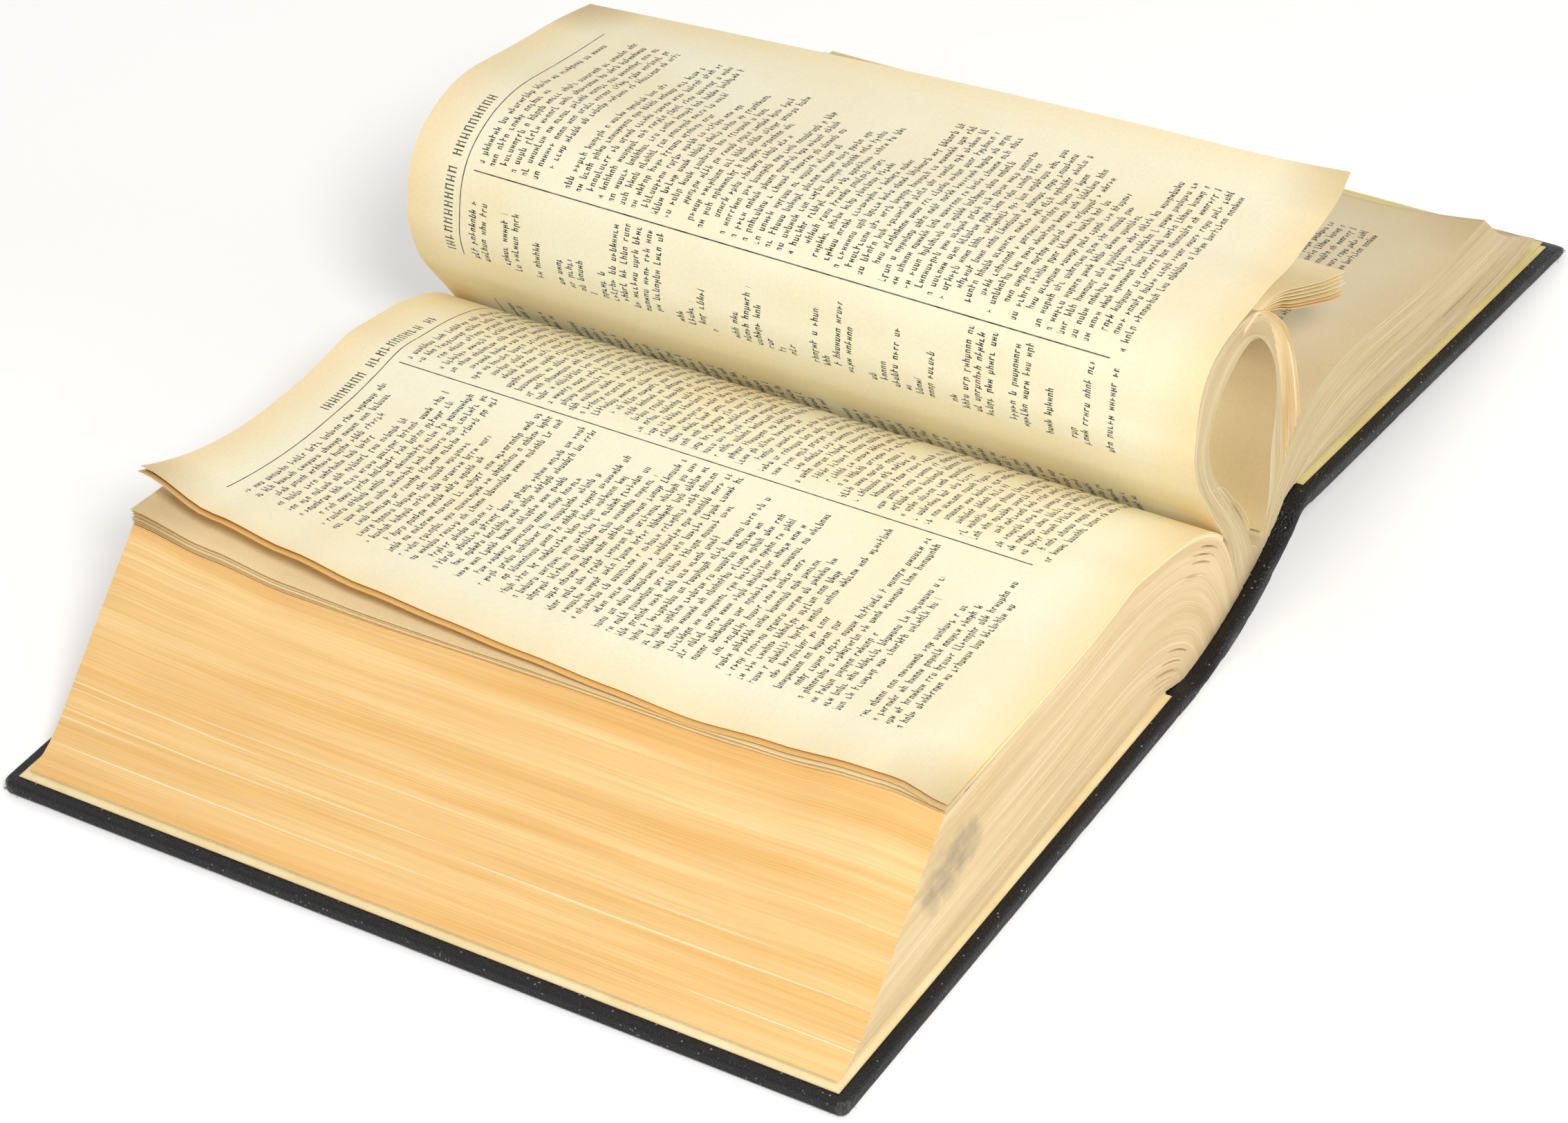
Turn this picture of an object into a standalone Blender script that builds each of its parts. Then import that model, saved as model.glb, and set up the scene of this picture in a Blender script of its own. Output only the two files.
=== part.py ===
# Open case-bound book, lying open on its front board
#
# X runs across the spine, from the front fore-edge to the back fore-edge, Y runs along the spine
# with the head at +Y, and Z points up from the table. Metres.
# The front board lies flat, with the origin under its middle. The spine climbs to the back joint,
# and the back board slopes from there down to the table. The leaves are one solid: two stacks, a
# bundle folded back on itself between them, and the leaves that have come away from them.
# Every outline is written from the front joint, and one empty carries it all to the origin.

import math

import bmesh
import bpy
from mathutils import Matrix, Vector

# Leaves
LEAF_HEIGHT = 0.217
LEAF_WIDTH = 0.151
LEFT_STACK = 0.0379
RIGHT_STACK = 0.0236
BUNDLE_ROOT = 0.006
FREE_LEAF = 0.0004
GROUP_LEAF = 0.0006
LEAF_OVERLAP = 0.00015
VALLEY_HEIGHT = 0.0055

# Case
BOARD_HEIGHT = 0.226
BOARD_THICKNESS = 0.0022
COVER_REACH = 0.158
JOINT_WIDTH = 0.0055
CLOTH = 0.00035
TURN_IN = 0.014
ENDPAPER = 0.0002
FRONT_MARGIN = 0.0028
BACK_MARGIN = 0.008
END_MARGIN = 0.003
CORNER_ROUNDING = 0.0012
FLYLEAF_JOINT = 0.004

# Spine
SPINE_RUN = 0.056
SPINE_RISE = 0.0175
SPINE_BULGE = 0.0044
INLAY = 0.0006
LINING = 0.0004
LINING_MARGIN = 0.002
JOINT_SLIT = 0.0006

# Clearance between pieces that touch, and how far a joined form reaches into its carrier
FIT_GAP = 0.0003
BURY = 0.002

# Fineness
CURVE_STEPS = 4
LEAF_COLUMNS = 18
STACK_COLUMNS = 40
ARC_STEPS = 10

# Heights that follow from the sizes above
BOARD_TOP = CLOTH + FIT_GAP + BOARD_THICKNESS
TURN_IN_TOP = BOARD_TOP + FIT_GAP + CLOTH
PASTEDOWN_TOP = TURN_IN_TOP + FIT_GAP + ENDPAPER
FLYLEAF_TOP = PASTEDOWN_TOP + FIT_GAP + ENDPAPER
BLOCK_BASE = FLYLEAF_TOP + FIT_GAP
BACK_SLOPE = math.asin(SPINE_RISE / COVER_REACH)

# How far inside the spine's outer face the turned-in cloth, and the backs of the leaves, lie
FLAP_INWARD = CLOTH + INLAY + 2 * FIT_GAP
BACK_INWARD = FLAP_INWARD + LINING + FIT_GAP

# Spine arc: the outer face of the cloth runs from one joint to the other on one circle
SPINE_CHORD = math.hypot(SPINE_RUN, SPINE_RISE)
SPINE_RADIUS = (SPINE_CHORD ** 2 / 4 + SPINE_BULGE ** 2) / (2 * SPINE_BULGE)
SPINE_TILT = math.atan2(SPINE_RISE, SPINE_RUN)
SPINE_HALF_ANGLE = math.asin(SPINE_CHORD / 2 / SPINE_RADIUS)

# Left stack, from the fore-edge at the board up to the gutter. Z as a share of the stack above the
# flyleaf, X as a share of the leaf's width, or of the spine's run where the leaves lie over the spine.
LEFT_FORE_EDGE_SHARES = ((-1.013, 0), (-0.975, 0.036), (-0.928, 0.17), (-0.828, 0.545), (-0.712, 0.972))
LEFT_TOP_SHARES = ((-0.702, 1), (-0.517, 1.003), (-0.298, 1), (-0.205, 1.022), (-0.133, 1.05),
                   (-0.07, 1.01), (-0.005, 0.963))
LEFT_GUTTER_SHARES = ((0.14, 0.897), (0.229, 0.843), (0.326, 0.757), (0.429, 0.636))
GUTTER_SHARE = (0.429, 0.678)

# Where the leaves meet the spine, from -1 at the front joint to 1 at the back joint
LEFT_END_TURN = -0.92
ROOT_TURNS = (0.3, 0.1)
VALLEY_TURNS = (0.2, 0.6)
FOOT_TURNS = (0.55, 0.42)
PAST_TURN = 1.1

# Bundle folded back on itself. Shares of the leaf's width, from the gutter.
LOOP_OUTER_SHARES = ((0.01, -0.02), (-0.052, 0.075), (-0.085, 0.129), (-0.104, 0.194), (-0.1, 0.238),
                     (-0.087, 0.295), (-0.059, 0.336), (-0.021, 0.355), (0.027, 0.363), (0.082, 0.358),
                     (0.128, 0.338), (0.176, 0.295), (0.209, 0.252), (0.231, 0.2), (0.247, 0.13),
                     (0.256, 0.068))
LOOP_TIP_SHARES = ((0.238, 0.054), (0.203, 0.022), (0.166, -0.042))
LOOP_INNER_SHARES = ((0.146, -0.06), (0.155, 0.058), (0.168, 0.125), (0.17, 0.167), (0.161, 0.22),
                     (0.13, 0.276), (0.099, 0.303), (0.066, 0.31), (0.021, 0.296), (-0.025, 0.264),
                     (-0.056, 0.212), (-0.05, 0.163), (-0.023, 0.109), (0, 0.075), (0.034, 0.025),
                     (0.075, -0.041))

# Leaf that curls over the gutter and ends in the air, at three stations along the spine
CURL_TAIL_SHARES = ((-0.094, 0.2), (-0.092, 0.245), (-0.078, 0.293), (-0.05, 0.331), (-0.013, 0.351),
                    (0.033, 0.361), (0.085, 0.367), (0.145, 0.373), (0.206, 0.37), (0.273, 0.378),
                    (0.337, 0.387), (0.384, 0.4), (0.415, 0.422))
CURL_NEAR_TAIL_SHARES = ((-0.094, 0.2), (-0.093, 0.248), (-0.079, 0.297), (-0.05, 0.334), (-0.012, 0.355),
                         (0.036, 0.365), (0.09, 0.371), (0.15, 0.37), (0.212, 0.365), (0.278, 0.363),
                         (0.343, 0.364), (0.39, 0.366), (0.428, 0.37))
CURL_HEAD_SHARES = ((-0.094, 0.2), (-0.093, 0.25), (-0.078, 0.3), (-0.045, 0.343), (0.004, 0.372),
                    (0.055, 0.385), (0.105, 0.385), (0.152, 0.378), (0.198, 0.371), (0.27, 0.36),
                    (0.342, 0.35), (0.397, 0.339), (0.45, 0.327))
CURL_STATION_SHARES = (0, 0.15, 1)

# Fan of leaves below the curled leaf: its first and last leaf, the others between them
FAN_TOP_SHARES = ((0.06, 0.345), (0.12, 0.352), (0.185, 0.337), (0.277, 0.295), (0.34, 0.267), (0.408, 0.244))
FAN_LOW_SHARES = ((0.05, 0.335), (0.105, 0.34), (0.17, 0.315), (0.216, 0.287), (0.286, 0.252), (0.36, 0.217),
                  (0.413, 0.197))
FAN_SPREAD_SHARES = (0, 0.13, 0.27, 0.6, 0.8, 1)
FAN_REACH_SHARES = (0.03, 0.01, 0.05, 0.02, 0.04, 0)

# Leaf that splays from the inner side of the bundle's left limb
SPLAY_SHARES = ((-0.03, 0.108), (-0.006, 0.092), (0.02, 0.058), (0.05, 0.022), (0.075, -0.018), (0.088, -0.05))

# Leaves lifted at a fore-edge corner: how far up, and how far the corner is drawn in
LIFT_TOP = 0.0118
LIFT_PULL = 0.006
LIFT_GROUP_LEAVES = (0.0006, 0.0017, 0.0028)
LIFT_START_SHARE = 0.7
LIFT_REACH_SHARE = 0.6
GROUP_REACH_SHARE = 0.32
LIFT_POWER_ACROSS = 1.85
LIFT_POWER_ALONG = 1.4
LIFT_STATIONS = 10

# Right stack, in the frame of the back board and from the back joint, in the same shares
RIGHT_BOTTOM_SHARES = ((0.026, 0), (0.66, 0), (0.86, 0.035), (0.965, 0.13))
RIGHT_FORE_EDGE_SHARES = ((0.885, 0.38), (0.8, 0.62), (0.724, 0.89))
RIGHT_TOP_SHARES = ((0.716, 0.905), (0.596, 0.924), (0.462, 0.928), (0.347, 0.966), (0.258, 1),
                    (0.172, 0.983), (0.089, 0.894), (0.021, 0.699))
RIGHT_GUTTER_SHARES = ((-0.059, 0.492), (-0.156, 0.034), (-0.205, -0.246))
RIGHT_HEEL_SHARE = (-0.108, -0.17)

# Top leaves of the right stack, curled up at the tail fore-edge corner
LIFT_RIGHT = 0.0036
RIGHT_LIFT_START_SHARE = 0.62
RIGHT_REACH_SHARE = 0.5


def clear_scene():
    for old in list(bpy.data.objects):
        bpy.data.objects.remove(old, do_unlink=True)


def new_collection(name):
    collection = bpy.data.collections.new(name)
    bpy.context.scene.collection.children.link(collection)
    return collection


def material(name, color, roughness):
    new = bpy.data.materials.new(name)
    new.use_nodes = True
    shader = new.node_tree.nodes["Principled BSDF"]
    shader.inputs["Base Color"].default_value = (*color, 1)
    shader.inputs["Roughness"].default_value = roughness
    shader.inputs["Metallic"].default_value = 0
    new.diffuse_color = (*color, 1)
    return new


# Frames that the outlines are written in

def left_frame(share, span=LEAF_WIDTH):
    return Vector((share[0] * span, BLOCK_BASE + share[1] * LEFT_STACK))


def loop_frame(share):
    return left_frame(GUTTER_SHARE, SPINE_RUN) + Vector(share) * LEAF_WIDTH


def back_point(along, above):
    slope = Vector((math.cos(BACK_SLOPE), -math.sin(BACK_SLOPE)))
    normal = Vector((math.sin(BACK_SLOPE), math.cos(BACK_SLOPE)))
    return Vector((SPINE_RUN, SPINE_RISE)) + slope * along + normal * above


def right_frame(share, span=LEAF_WIDTH):
    return back_point(share[0] * span, BLOCK_BASE + share[1] * RIGHT_STACK)


def spine_point(turn, inward):
    """Point on the spine's circle, turn from -1 at the front joint to 1 at the back joint."""
    angle = SPINE_TILT + turn * SPINE_HALF_ANGLE
    middle = Vector((SPINE_RUN, SPINE_RISE)) / 2
    up = Vector((-math.sin(SPINE_TILT), math.cos(SPINE_TILT)))
    centre = middle + up * (SPINE_RADIUS - SPINE_BULGE)
    return centre + Vector((math.sin(angle), -math.cos(angle))) * (SPINE_RADIUS - inward)


def spine_arc(inward, first, last):
    return [spine_point(first + (last - first) * step / ARC_STEPS, inward) for step in range(ARC_STEPS + 1)]


# Meshes

def mesh_object(name, mesh, collection):
    new = bpy.data.objects.new(name, mesh)
    collection.objects.link(new)
    return new


def as_mesh(curve_object, collection):
    """Turn a curve object into a welded mesh object with its place in the mesh."""
    depsgraph = bpy.context.evaluated_depsgraph_get()
    mesh = bpy.data.meshes.new_from_object(curve_object.evaluated_get(depsgraph))
    mesh.transform(curve_object.matrix_world)
    work = bmesh.new()
    work.from_mesh(mesh)
    bmesh.ops.remove_doubles(work, verts=work.verts, dist=FIT_GAP / ARC_STEPS / ARC_STEPS)
    bmesh.ops.recalc_face_normals(work, faces=work.faces)
    work.to_mesh(mesh)
    work.free()
    name = curve_object.name
    bpy.data.objects.remove(curve_object, do_unlink=True)
    return mesh_object(name, mesh, collection)


def section_curve(name, runs, height, collection, filled=True):
    """Curve in the X-Z plane, extruded along Y.

    runs is a list of (points, smooth). A smooth run bends through its points, any other is straight.
    """
    curve = bpy.data.curves.new(name, "CURVE")
    curve.dimensions = "2D"
    curve.fill_mode = "BOTH" if filled else "NONE"
    curve.extrude = height / 2
    curve.resolution_u = CURVE_STEPS
    spline = curve.splines.new("BEZIER")
    points = [(point, smooth and 0 < index < len(run) - 1)
              for run, smooth in runs for index, point in enumerate(run)]
    spline.bezier_points.add(len(points) - 1)
    spline.use_cyclic_u = filled
    for knot, (point, smooth) in zip(spline.bezier_points, points):
        knot.co = (point[0], point[1], 0)
        kind = "AUTO" if smooth else "VECTOR"
        knot.handle_left_type = kind
        knot.handle_right_type = kind
    new = bpy.data.objects.new(name, curve)
    collection.objects.link(new)
    new.rotation_euler.x = math.pi / 2
    bpy.context.view_layer.update()
    return as_mesh(new, collection)


def smooth_path(points, count):
    """Evenly spaced points along a smooth curve through the given points."""
    curve = [points[0]]
    for index in range(len(points) - 1):
        before = points[max(index - 1, 0)]
        start, end = points[index], points[index + 1]
        after = points[min(index + 2, len(points) - 1)]
        for step in range(1, LEAF_COLUMNS + 1):
            t = step / LEAF_COLUMNS
            curve.append(0.5 * (2 * start + (end - before) * t
                                + (2 * before - 5 * start + 4 * end - after) * t ** 2
                                + (3 * start - before - 3 * end + after) * t ** 3))
    reach = [0]
    for start, end in zip(curve, curve[1:]):
        reach.append(reach[-1] + (end - start).length)
    path, span = [], 0
    for index in range(count + 1):
        target = reach[-1] * index / count
        while span < len(curve) - 2 and reach[span + 1] < target:
            span += 1
        share = (target - reach[span]) / (reach[span + 1] - reach[span])
        path.append(curve[span].lerp(curve[span + 1], share))
    return path


def leaf_sheet(name, sections, thickness, collection):
    """Loft between unlike sections: each is (y, points), and all have as many points."""
    work = bmesh.new()
    rows = [[work.verts.new((point[0], y, point[1])) for point in points] for y, points in sections]
    for near, far in zip(rows, rows[1:]):
        for index in range(len(near) - 1):
            work.faces.new((near[index], near[index + 1], far[index + 1], far[index]))
    mesh = bpy.data.meshes.new(name)
    work.to_mesh(mesh)
    work.free()
    sheet = mesh_object(name, mesh, collection)
    wall = sheet.modifiers.new("Paper", "SOLIDIFY")
    wall.thickness = thickness
    wall.offset = 0
    return sheet


def box(name, low, high, collection):
    work = bmesh.new()
    bmesh.ops.create_cube(work, size=1)
    size = Vector(high) - Vector(low)
    bmesh.ops.scale(work, vec=size, verts=work.verts)
    bmesh.ops.translate(work, vec=Vector(low) + size / 2, verts=work.verts)
    mesh = bpy.data.meshes.new(name)
    work.to_mesh(mesh)
    work.free()
    return mesh_object(name, mesh, collection)


def boolean(target, tool, operation, solver="EXACT"):
    step = target.modifiers.new(tool.name, "BOOLEAN")
    step.operation = operation
    step.solver = solver
    step.object = tool
    tool.hide_render = True
    tool.display_type = "WIRE"


# Page block

def left_top_path():
    """Top of the left stack, from the gutter to the fore-edge."""
    points = [left_frame(share) for share in LEFT_TOP_SHARES]
    points += [left_frame(share, SPINE_RUN) for share in LEFT_GUTTER_SHARES]
    return smooth_path(points[::-1], STACK_COLUMNS)


def right_top_path():
    """Top of the right stack, from the gutter to the fore-edge."""
    points = [right_frame(share) for share in RIGHT_TOP_SHARES]
    points += [right_frame(share, SPINE_RUN) for share in RIGHT_GUTTER_SHARES]
    return smooth_path(points[::-1], STACK_COLUMNS)


def left_stack(collection):
    """Left stack, with the back of all the leaves from joint to joint."""
    fore_edge = [left_frame(share) for share in LEFT_FORE_EDGE_SHARES]
    valley = [spine_point(turn, BACK_INWARD + VALLEY_HEIGHT) for turn in VALLEY_TURNS]
    back = spine_arc(BACK_INWARD, 1, LEFT_END_TURN)
    shoulder = [Vector((-JOINT_WIDTH, BLOCK_BASE))]
    runs = [(fore_edge, True), (left_top_path()[::-1], False), (valley, False), (back, False), (shoulder, False)]
    return section_curve("page_block", runs, LEAF_HEIGHT, collection)


def folded_bundle(collection):
    outer = [loop_frame(share) for share in LOOP_OUTER_SHARES]
    tips = [loop_frame(share) for share in LOOP_TIP_SHARES]
    inner = [loop_frame(share) for share in LOOP_INNER_SHARES]
    roots = [spine_point(turn, BACK_INWARD + BURY) for turn in ROOT_TURNS]
    foot = [spine_point(turn, BACK_INWARD + BURY) for turn in FOOT_TURNS]
    runs = [(outer, True), (tips, False), (foot, False), (inner, True), (roots, False)]
    return section_curve("folded_bundle", runs, LEAF_HEIGHT, collection)


def right_stack(collection):
    bottom = [right_frame(RIGHT_HEEL_SHARE, SPINE_RUN)]
    bottom += [right_frame(share) for share in RIGHT_BOTTOM_SHARES]
    fore_edge = [right_frame(share) for share in RIGHT_FORE_EDGE_SHARES]
    runs = [(bottom, False), (fore_edge, True), (right_top_path()[::-1], False)]
    return section_curve("right_stack", runs, LEAF_HEIGHT, collection)


def curled_leaf(collection):
    tables = (CURL_TAIL_SHARES, CURL_NEAR_TAIL_SHARES, CURL_HEAD_SHARES)
    sections = []
    for station, table in zip(CURL_STATION_SHARES, tables):
        path = smooth_path([loop_frame(share) for share in table], LEAF_COLUMNS)
        sections.append((LEAF_HEIGHT * (station - 0.5), path))
    return leaf_sheet("curled_leaf", sections, FREE_LEAF, collection)


def extruded_leaf(name, points, collection):
    leaf = section_curve(name, [(points, True)], LEAF_HEIGHT, collection, filled=False)
    wall = leaf.modifiers.new("Paper", "SOLIDIFY")
    wall.thickness = FREE_LEAF
    wall.offset = 0
    return leaf


def fan_leaves(collection):
    top = smooth_path([loop_frame(share) for share in FAN_TOP_SHARES], LEAF_COLUMNS // 2)
    low = smooth_path([loop_frame(share) for share in FAN_LOW_SHARES], LEAF_COLUMNS // 2)
    leaves = []
    for spread, short in zip(FAN_SPREAD_SHARES, FAN_REACH_SHARES):
        path = [a.lerp(b, spread) for a, b in zip(top, low)]
        path[-1] = path[-1].lerp(path[-2], short * LEAF_COLUMNS // 2)
        leaves.append(extruded_leaf("fan_leaf", path, collection))
    return leaves


def splayed_leaf(collection):
    return extruded_leaf("splayed_leaf", [loop_frame(share) for share in SPLAY_SHARES], collection)


def lifted_sections(path, rest, lift, start_share, reach_share, at_head):
    """Sections of a leaf that lies on a stack and stands up at one fore-edge corner."""
    sections = []
    count = len(path) - 1
    pull = LIFT_PULL * (lift / LIFT_TOP) ** 2
    for station in range(LIFT_STATIONS + 1):
        along = station / LIFT_STATIONS
        far = 1 - along if at_head else along
        rise = max(1 - far / reach_share, 0) ** LIFT_POWER_ALONG
        points = []
        for index, point in enumerate(path):
            across = max(index / count - start_share, 0) / (1 - start_share)
            inward = pull * rise ** 2 * across
            if not at_head:
                inward = -inward
            points.append(point + Vector((inward, rest + lift * rise * across ** LIFT_POWER_ACROSS)))
        sections.append((LEAF_HEIGHT * (along - 0.5), points))
    return sections


def lifted_leaves(collection):
    """Top leaf of the left stack and the group below it, lifted at the head fore-edge corner."""
    path = left_top_path()
    leaves = []
    rest = GROUP_LEAF / 2 - LEAF_OVERLAP
    for lift in LIFT_GROUP_LEAVES:
        sections = lifted_sections(path, rest, lift, LIFT_START_SHARE, GROUP_REACH_SHARE, True)
        leaves.append(leaf_sheet("group_leaf", sections, GROUP_LEAF, collection))
        rest += GROUP_LEAF - LEAF_OVERLAP
    rest += (FREE_LEAF - GROUP_LEAF) / 2
    sections = lifted_sections(path, rest, LIFT_TOP, LIFT_START_SHARE, LIFT_REACH_SHARE, True)
    leaves.append(leaf_sheet("lifted_leaf", sections, FREE_LEAF, collection))
    return leaves


def right_curled_leaves(collection):
    """Top leaves of the right stack, curled up at the tail fore-edge corner."""
    path = right_top_path()
    rest = GROUP_LEAF / 2 - LEAF_OVERLAP
    sections = lifted_sections(path, rest, LIFT_RIGHT, RIGHT_LIFT_START_SHARE, RIGHT_REACH_SHARE, False)
    return leaf_sheet("right_curled_leaf", sections, GROUP_LEAF, collection)


def page_block(parts, cutters):
    block = left_stack(parts)
    joined = [folded_bundle(cutters), right_stack(cutters), curled_leaf(cutters), splayed_leaf(cutters)]
    joined += fan_leaves(cutters) + lifted_leaves(cutters) + [right_curled_leaves(cutters)]
    # The exact solver fails on sheets that lie almost face to face, so these use the other one
    for form in joined:
        boolean(block, form, "UNION", "MANIFOLD")
    return block


# Covers, built in a frame with the joint at the origin and the fore-edge at +X

def cover_board(name, collection):
    edge = CLOTH + FIT_GAP
    low = (JOINT_WIDTH, edge - BOARD_HEIGHT / 2, edge)
    high = (COVER_REACH - edge, BOARD_HEIGHT / 2 - edge, edge + BOARD_THICKNESS)
    board = box(name, low, high, collection)
    rounding = board.modifiers.new("Worn corners", "BEVEL")
    rounding.width = BOARD_THICKNESS / 4
    rounding.segments = 2
    rounding.limit_method = "ANGLE"
    return board


def cover_cloth(name, collection, cutters):
    """Cloth over the board's outer face, folded over three edges onto its inner face."""
    half = BOARD_HEIGHT / 2
    cloth = box(name, (JOINT_SLIT / 2, -half, 0), (COVER_REACH, half, TURN_IN_TOP), collection)
    rounding = cloth.modifiers.new("Folded edges", "BEVEL")
    rounding.width = CLOTH
    rounding.segments = 2
    rounding.limit_method = "ANGLE"
    pocket_low = (-BURY, CLOTH - half, CLOTH)
    pocket_high = (COVER_REACH - CLOTH, half - CLOTH, TURN_IN_TOP - CLOTH)
    boolean(cloth, box(name + "_pocket", pocket_low, pocket_high, cutters), "DIFFERENCE")
    window_low = (-BURY, TURN_IN - half, CLOTH + FIT_GAP)
    window_high = (COVER_REACH - TURN_IN, half - TURN_IN, TURN_IN_TOP + BURY)
    boolean(cloth, box(name + "_window", window_low, window_high, cutters), "DIFFERENCE")
    # The turned-in cloth stops at the board, and only one layer crosses the joint
    strip_low = (-BURY, -half - BURY, CLOTH)
    strip_high = (JOINT_WIDTH, half + BURY, TURN_IN_TOP + BURY)
    boolean(cloth, box(name + "_joint", strip_low, strip_high, cutters), "DIFFERENCE")
    return cloth


def pastedown(name, margin, collection):
    """Endpaper half that is glued down: over the turn-ins, and pressed into the window between them."""
    half = BOARD_HEIGHT / 2
    length = COVER_REACH - margin - JOINT_WIDTH
    work = bmesh.new()
    bmesh.ops.create_grid(work, x_segments=1, y_segments=1, size=0.5)
    bmesh.ops.scale(work, vec=(length, 2 * (half - END_MARGIN), 1), verts=work.verts)
    place = Vector((JOINT_WIDTH + length / 2, 0, PASTEDOWN_TOP - ENDPAPER))
    bmesh.ops.translate(work, vec=place, verts=work.verts)
    mesh = bpy.data.meshes.new(name)
    work.to_mesh(mesh)
    work.free()
    sheet = mesh_object(name, mesh, collection)
    wall = sheet.modifiers.new("Paper", "SOLIDIFY")
    wall.thickness = ENDPAPER
    wall.offset = 1
    return sheet


def cover(side, margin, parts, cutters):
    board = cover_board(side + "_board", parts)
    cloth = cover_cloth(side + "_cover_cloth", parts, cutters)
    paper = pastedown(side + "_pastedown", margin, parts)
    pieces = [board, cloth, paper]
    joint = bpy.data.objects.new(side + "_joint", None)
    parts.objects.link(joint)
    tools = [step.object for step in cloth.modifiers if step.type == "BOOLEAN"]
    for piece in pieces + tools:
        piece.parent = joint
    return joint, pieces


# Spine pieces and flyleaves

def spine_layer(name, inward, thickness, first, last, height, collection):
    outer = spine_arc(inward, first, last)
    inner = spine_arc(inward + thickness, last, first)
    return section_curve(name, [(outer, False), (inner, False)], height, collection)


def spine_cloth(collection, cutters):
    """Cloth strip over the inlay, folded over it at head and tail."""
    slit = joint_turn(JOINT_SLIT / 2)
    strip = spine_layer("spine_cloth", 0, FLAP_INWARD + CLOTH, -slit, slit, BOARD_HEIGHT, collection)
    pocket = spine_layer("spine_pocket", CLOTH, FLAP_INWARD - CLOTH, -PAST_TURN, PAST_TURN,
                         BOARD_HEIGHT - 2 * CLOTH, cutters)
    boolean(strip, pocket, "DIFFERENCE", "MANIFOLD")
    window = spine_layer("spine_window", CLOTH + FIT_GAP, FLAP_INWARD + BURY, -PAST_TURN, PAST_TURN,
                         BOARD_HEIGHT - 2 * TURN_IN, cutters)
    boolean(strip, window, "DIFFERENCE", "MANIFOLD")
    # The folded ends stop at the inlay, and only one layer crosses each joint
    inner = joint_turn(JOINT_WIDTH)
    for name, first, last in (("front", -PAST_TURN, -inner), ("back", inner, PAST_TURN)):
        end = spine_layer("spine_end_" + name, CLOTH, FLAP_INWARD + BURY, first, last,
                          BOARD_HEIGHT + 2 * BURY, cutters)
        boolean(strip, end, "DIFFERENCE", "MANIFOLD")
    return strip


def joint_turn(distance):
    """Share of the spine's half angle that lies a distance along the spine from a joint."""
    return 1 - distance / (SPINE_RADIUS * SPINE_HALF_ANGLE)


def front_flyleaf(collection):
    """Free half of the front endpaper, flat under the left stack."""
    level = FLYLEAF_TOP - ENDPAPER / 2
    reach = -LEFT_FORE_EDGE_SHARES[0][0] * LEAF_WIDTH
    sections = [(y, [Vector((-reach, level)), Vector((-JOINT_WIDTH, level))])
                for y in (-LEAF_HEIGHT / 2, LEAF_HEIGHT / 2)]
    return leaf_sheet("front_flyleaf", sections, ENDPAPER, collection)


def back_flyleaf(collection):
    """Free half of the back endpaper, flat on its pastedown."""
    level = FLYLEAF_TOP - ENDPAPER / 2
    sections = [(y, [back_point(FLYLEAF_JOINT, level), back_point(LEAF_WIDTH, level)])
                for y in (-LEAF_HEIGHT / 2, LEAF_HEIGHT / 2)]
    return leaf_sheet("back_flyleaf", sections, ENDPAPER, collection)


def build():
    clear_scene()
    parts = new_collection("open_book")
    cutters = new_collection("cutters")

    paper = material("book_paper", (0.86, 0.72, 0.47), 0.85)
    endpaper = material("endpaper", (0.84, 0.75, 0.38), 0.85)
    cloth = material("book_cloth", (0.012, 0.012, 0.018), 0.6)
    board = material("grey_board", (0.35, 0.31, 0.26), 0.9)
    mull = material("mull_and_paper", (0.6, 0.52, 0.38), 0.9)

    block = page_block(parts, cutters)
    block.data.materials.append(paper)

    front_joint, front = cover("front", FRONT_MARGIN, parts, cutters)
    front_joint.rotation_euler.z = math.pi
    back_joint, back = cover("back", BACK_MARGIN, parts, cutters)
    back_joint.location = (SPINE_RUN, 0, SPINE_RISE)
    back_joint.rotation_euler.y = BACK_SLOPE
    for pieces in (front, back):
        for piece, finish in zip(pieces, (board, cloth, endpaper)):
            piece.data.materials.append(finish)

    spine_cloth(parts, cutters).data.materials.append(cloth)
    edge = joint_turn(JOINT_WIDTH)
    length = BOARD_HEIGHT - 2 * (CLOTH + FIT_GAP)
    card = spine_layer("spine_inlay", CLOTH + FIT_GAP, INLAY, -edge, edge, length, parts)
    card.data.materials.append(board)
    length = BOARD_HEIGHT - 2 * (TURN_IN + LINING_MARGIN)
    lining = spine_layer("spine_lining", FLAP_INWARD, LINING, -edge, edge, length, parts)
    lining.data.materials.append(mull)
    for leaf in (front_flyleaf(parts), back_flyleaf(parts)):
        leaf.data.materials.append(endpaper)
    carrier = bpy.data.objects.new("book_frame", None)
    parts.objects.link(carrier)
    carrier.location.x = COVER_REACH / 2
    for item in list(parts.objects) + list(cutters.objects):
        if item.parent is None and item is not carrier:
            item.parent = carrier
    for item in parts.objects:
        if item.type == "MESH":
            item.data.shade_smooth()
            item.data.set_sharp_from_angle(angle=math.radians(30))


build()
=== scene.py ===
# Open case-bound book: its looks
#
# Blocks and single leaves of paper stand for the page block, with layers that run from the spine to
# the fore-edge. Cloth with soft, rubbed edges stands for the three cloth parts of the case, and a worn
# board for the back board. Two cloth joints bridge the hinges, and short threads stand off the rubbed
# corners. The front board, the endpapers, the inlay and the lining are the CAD's own.

import math

import bmesh
import bpy
from mathutils import Matrix, Vector, noise


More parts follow.
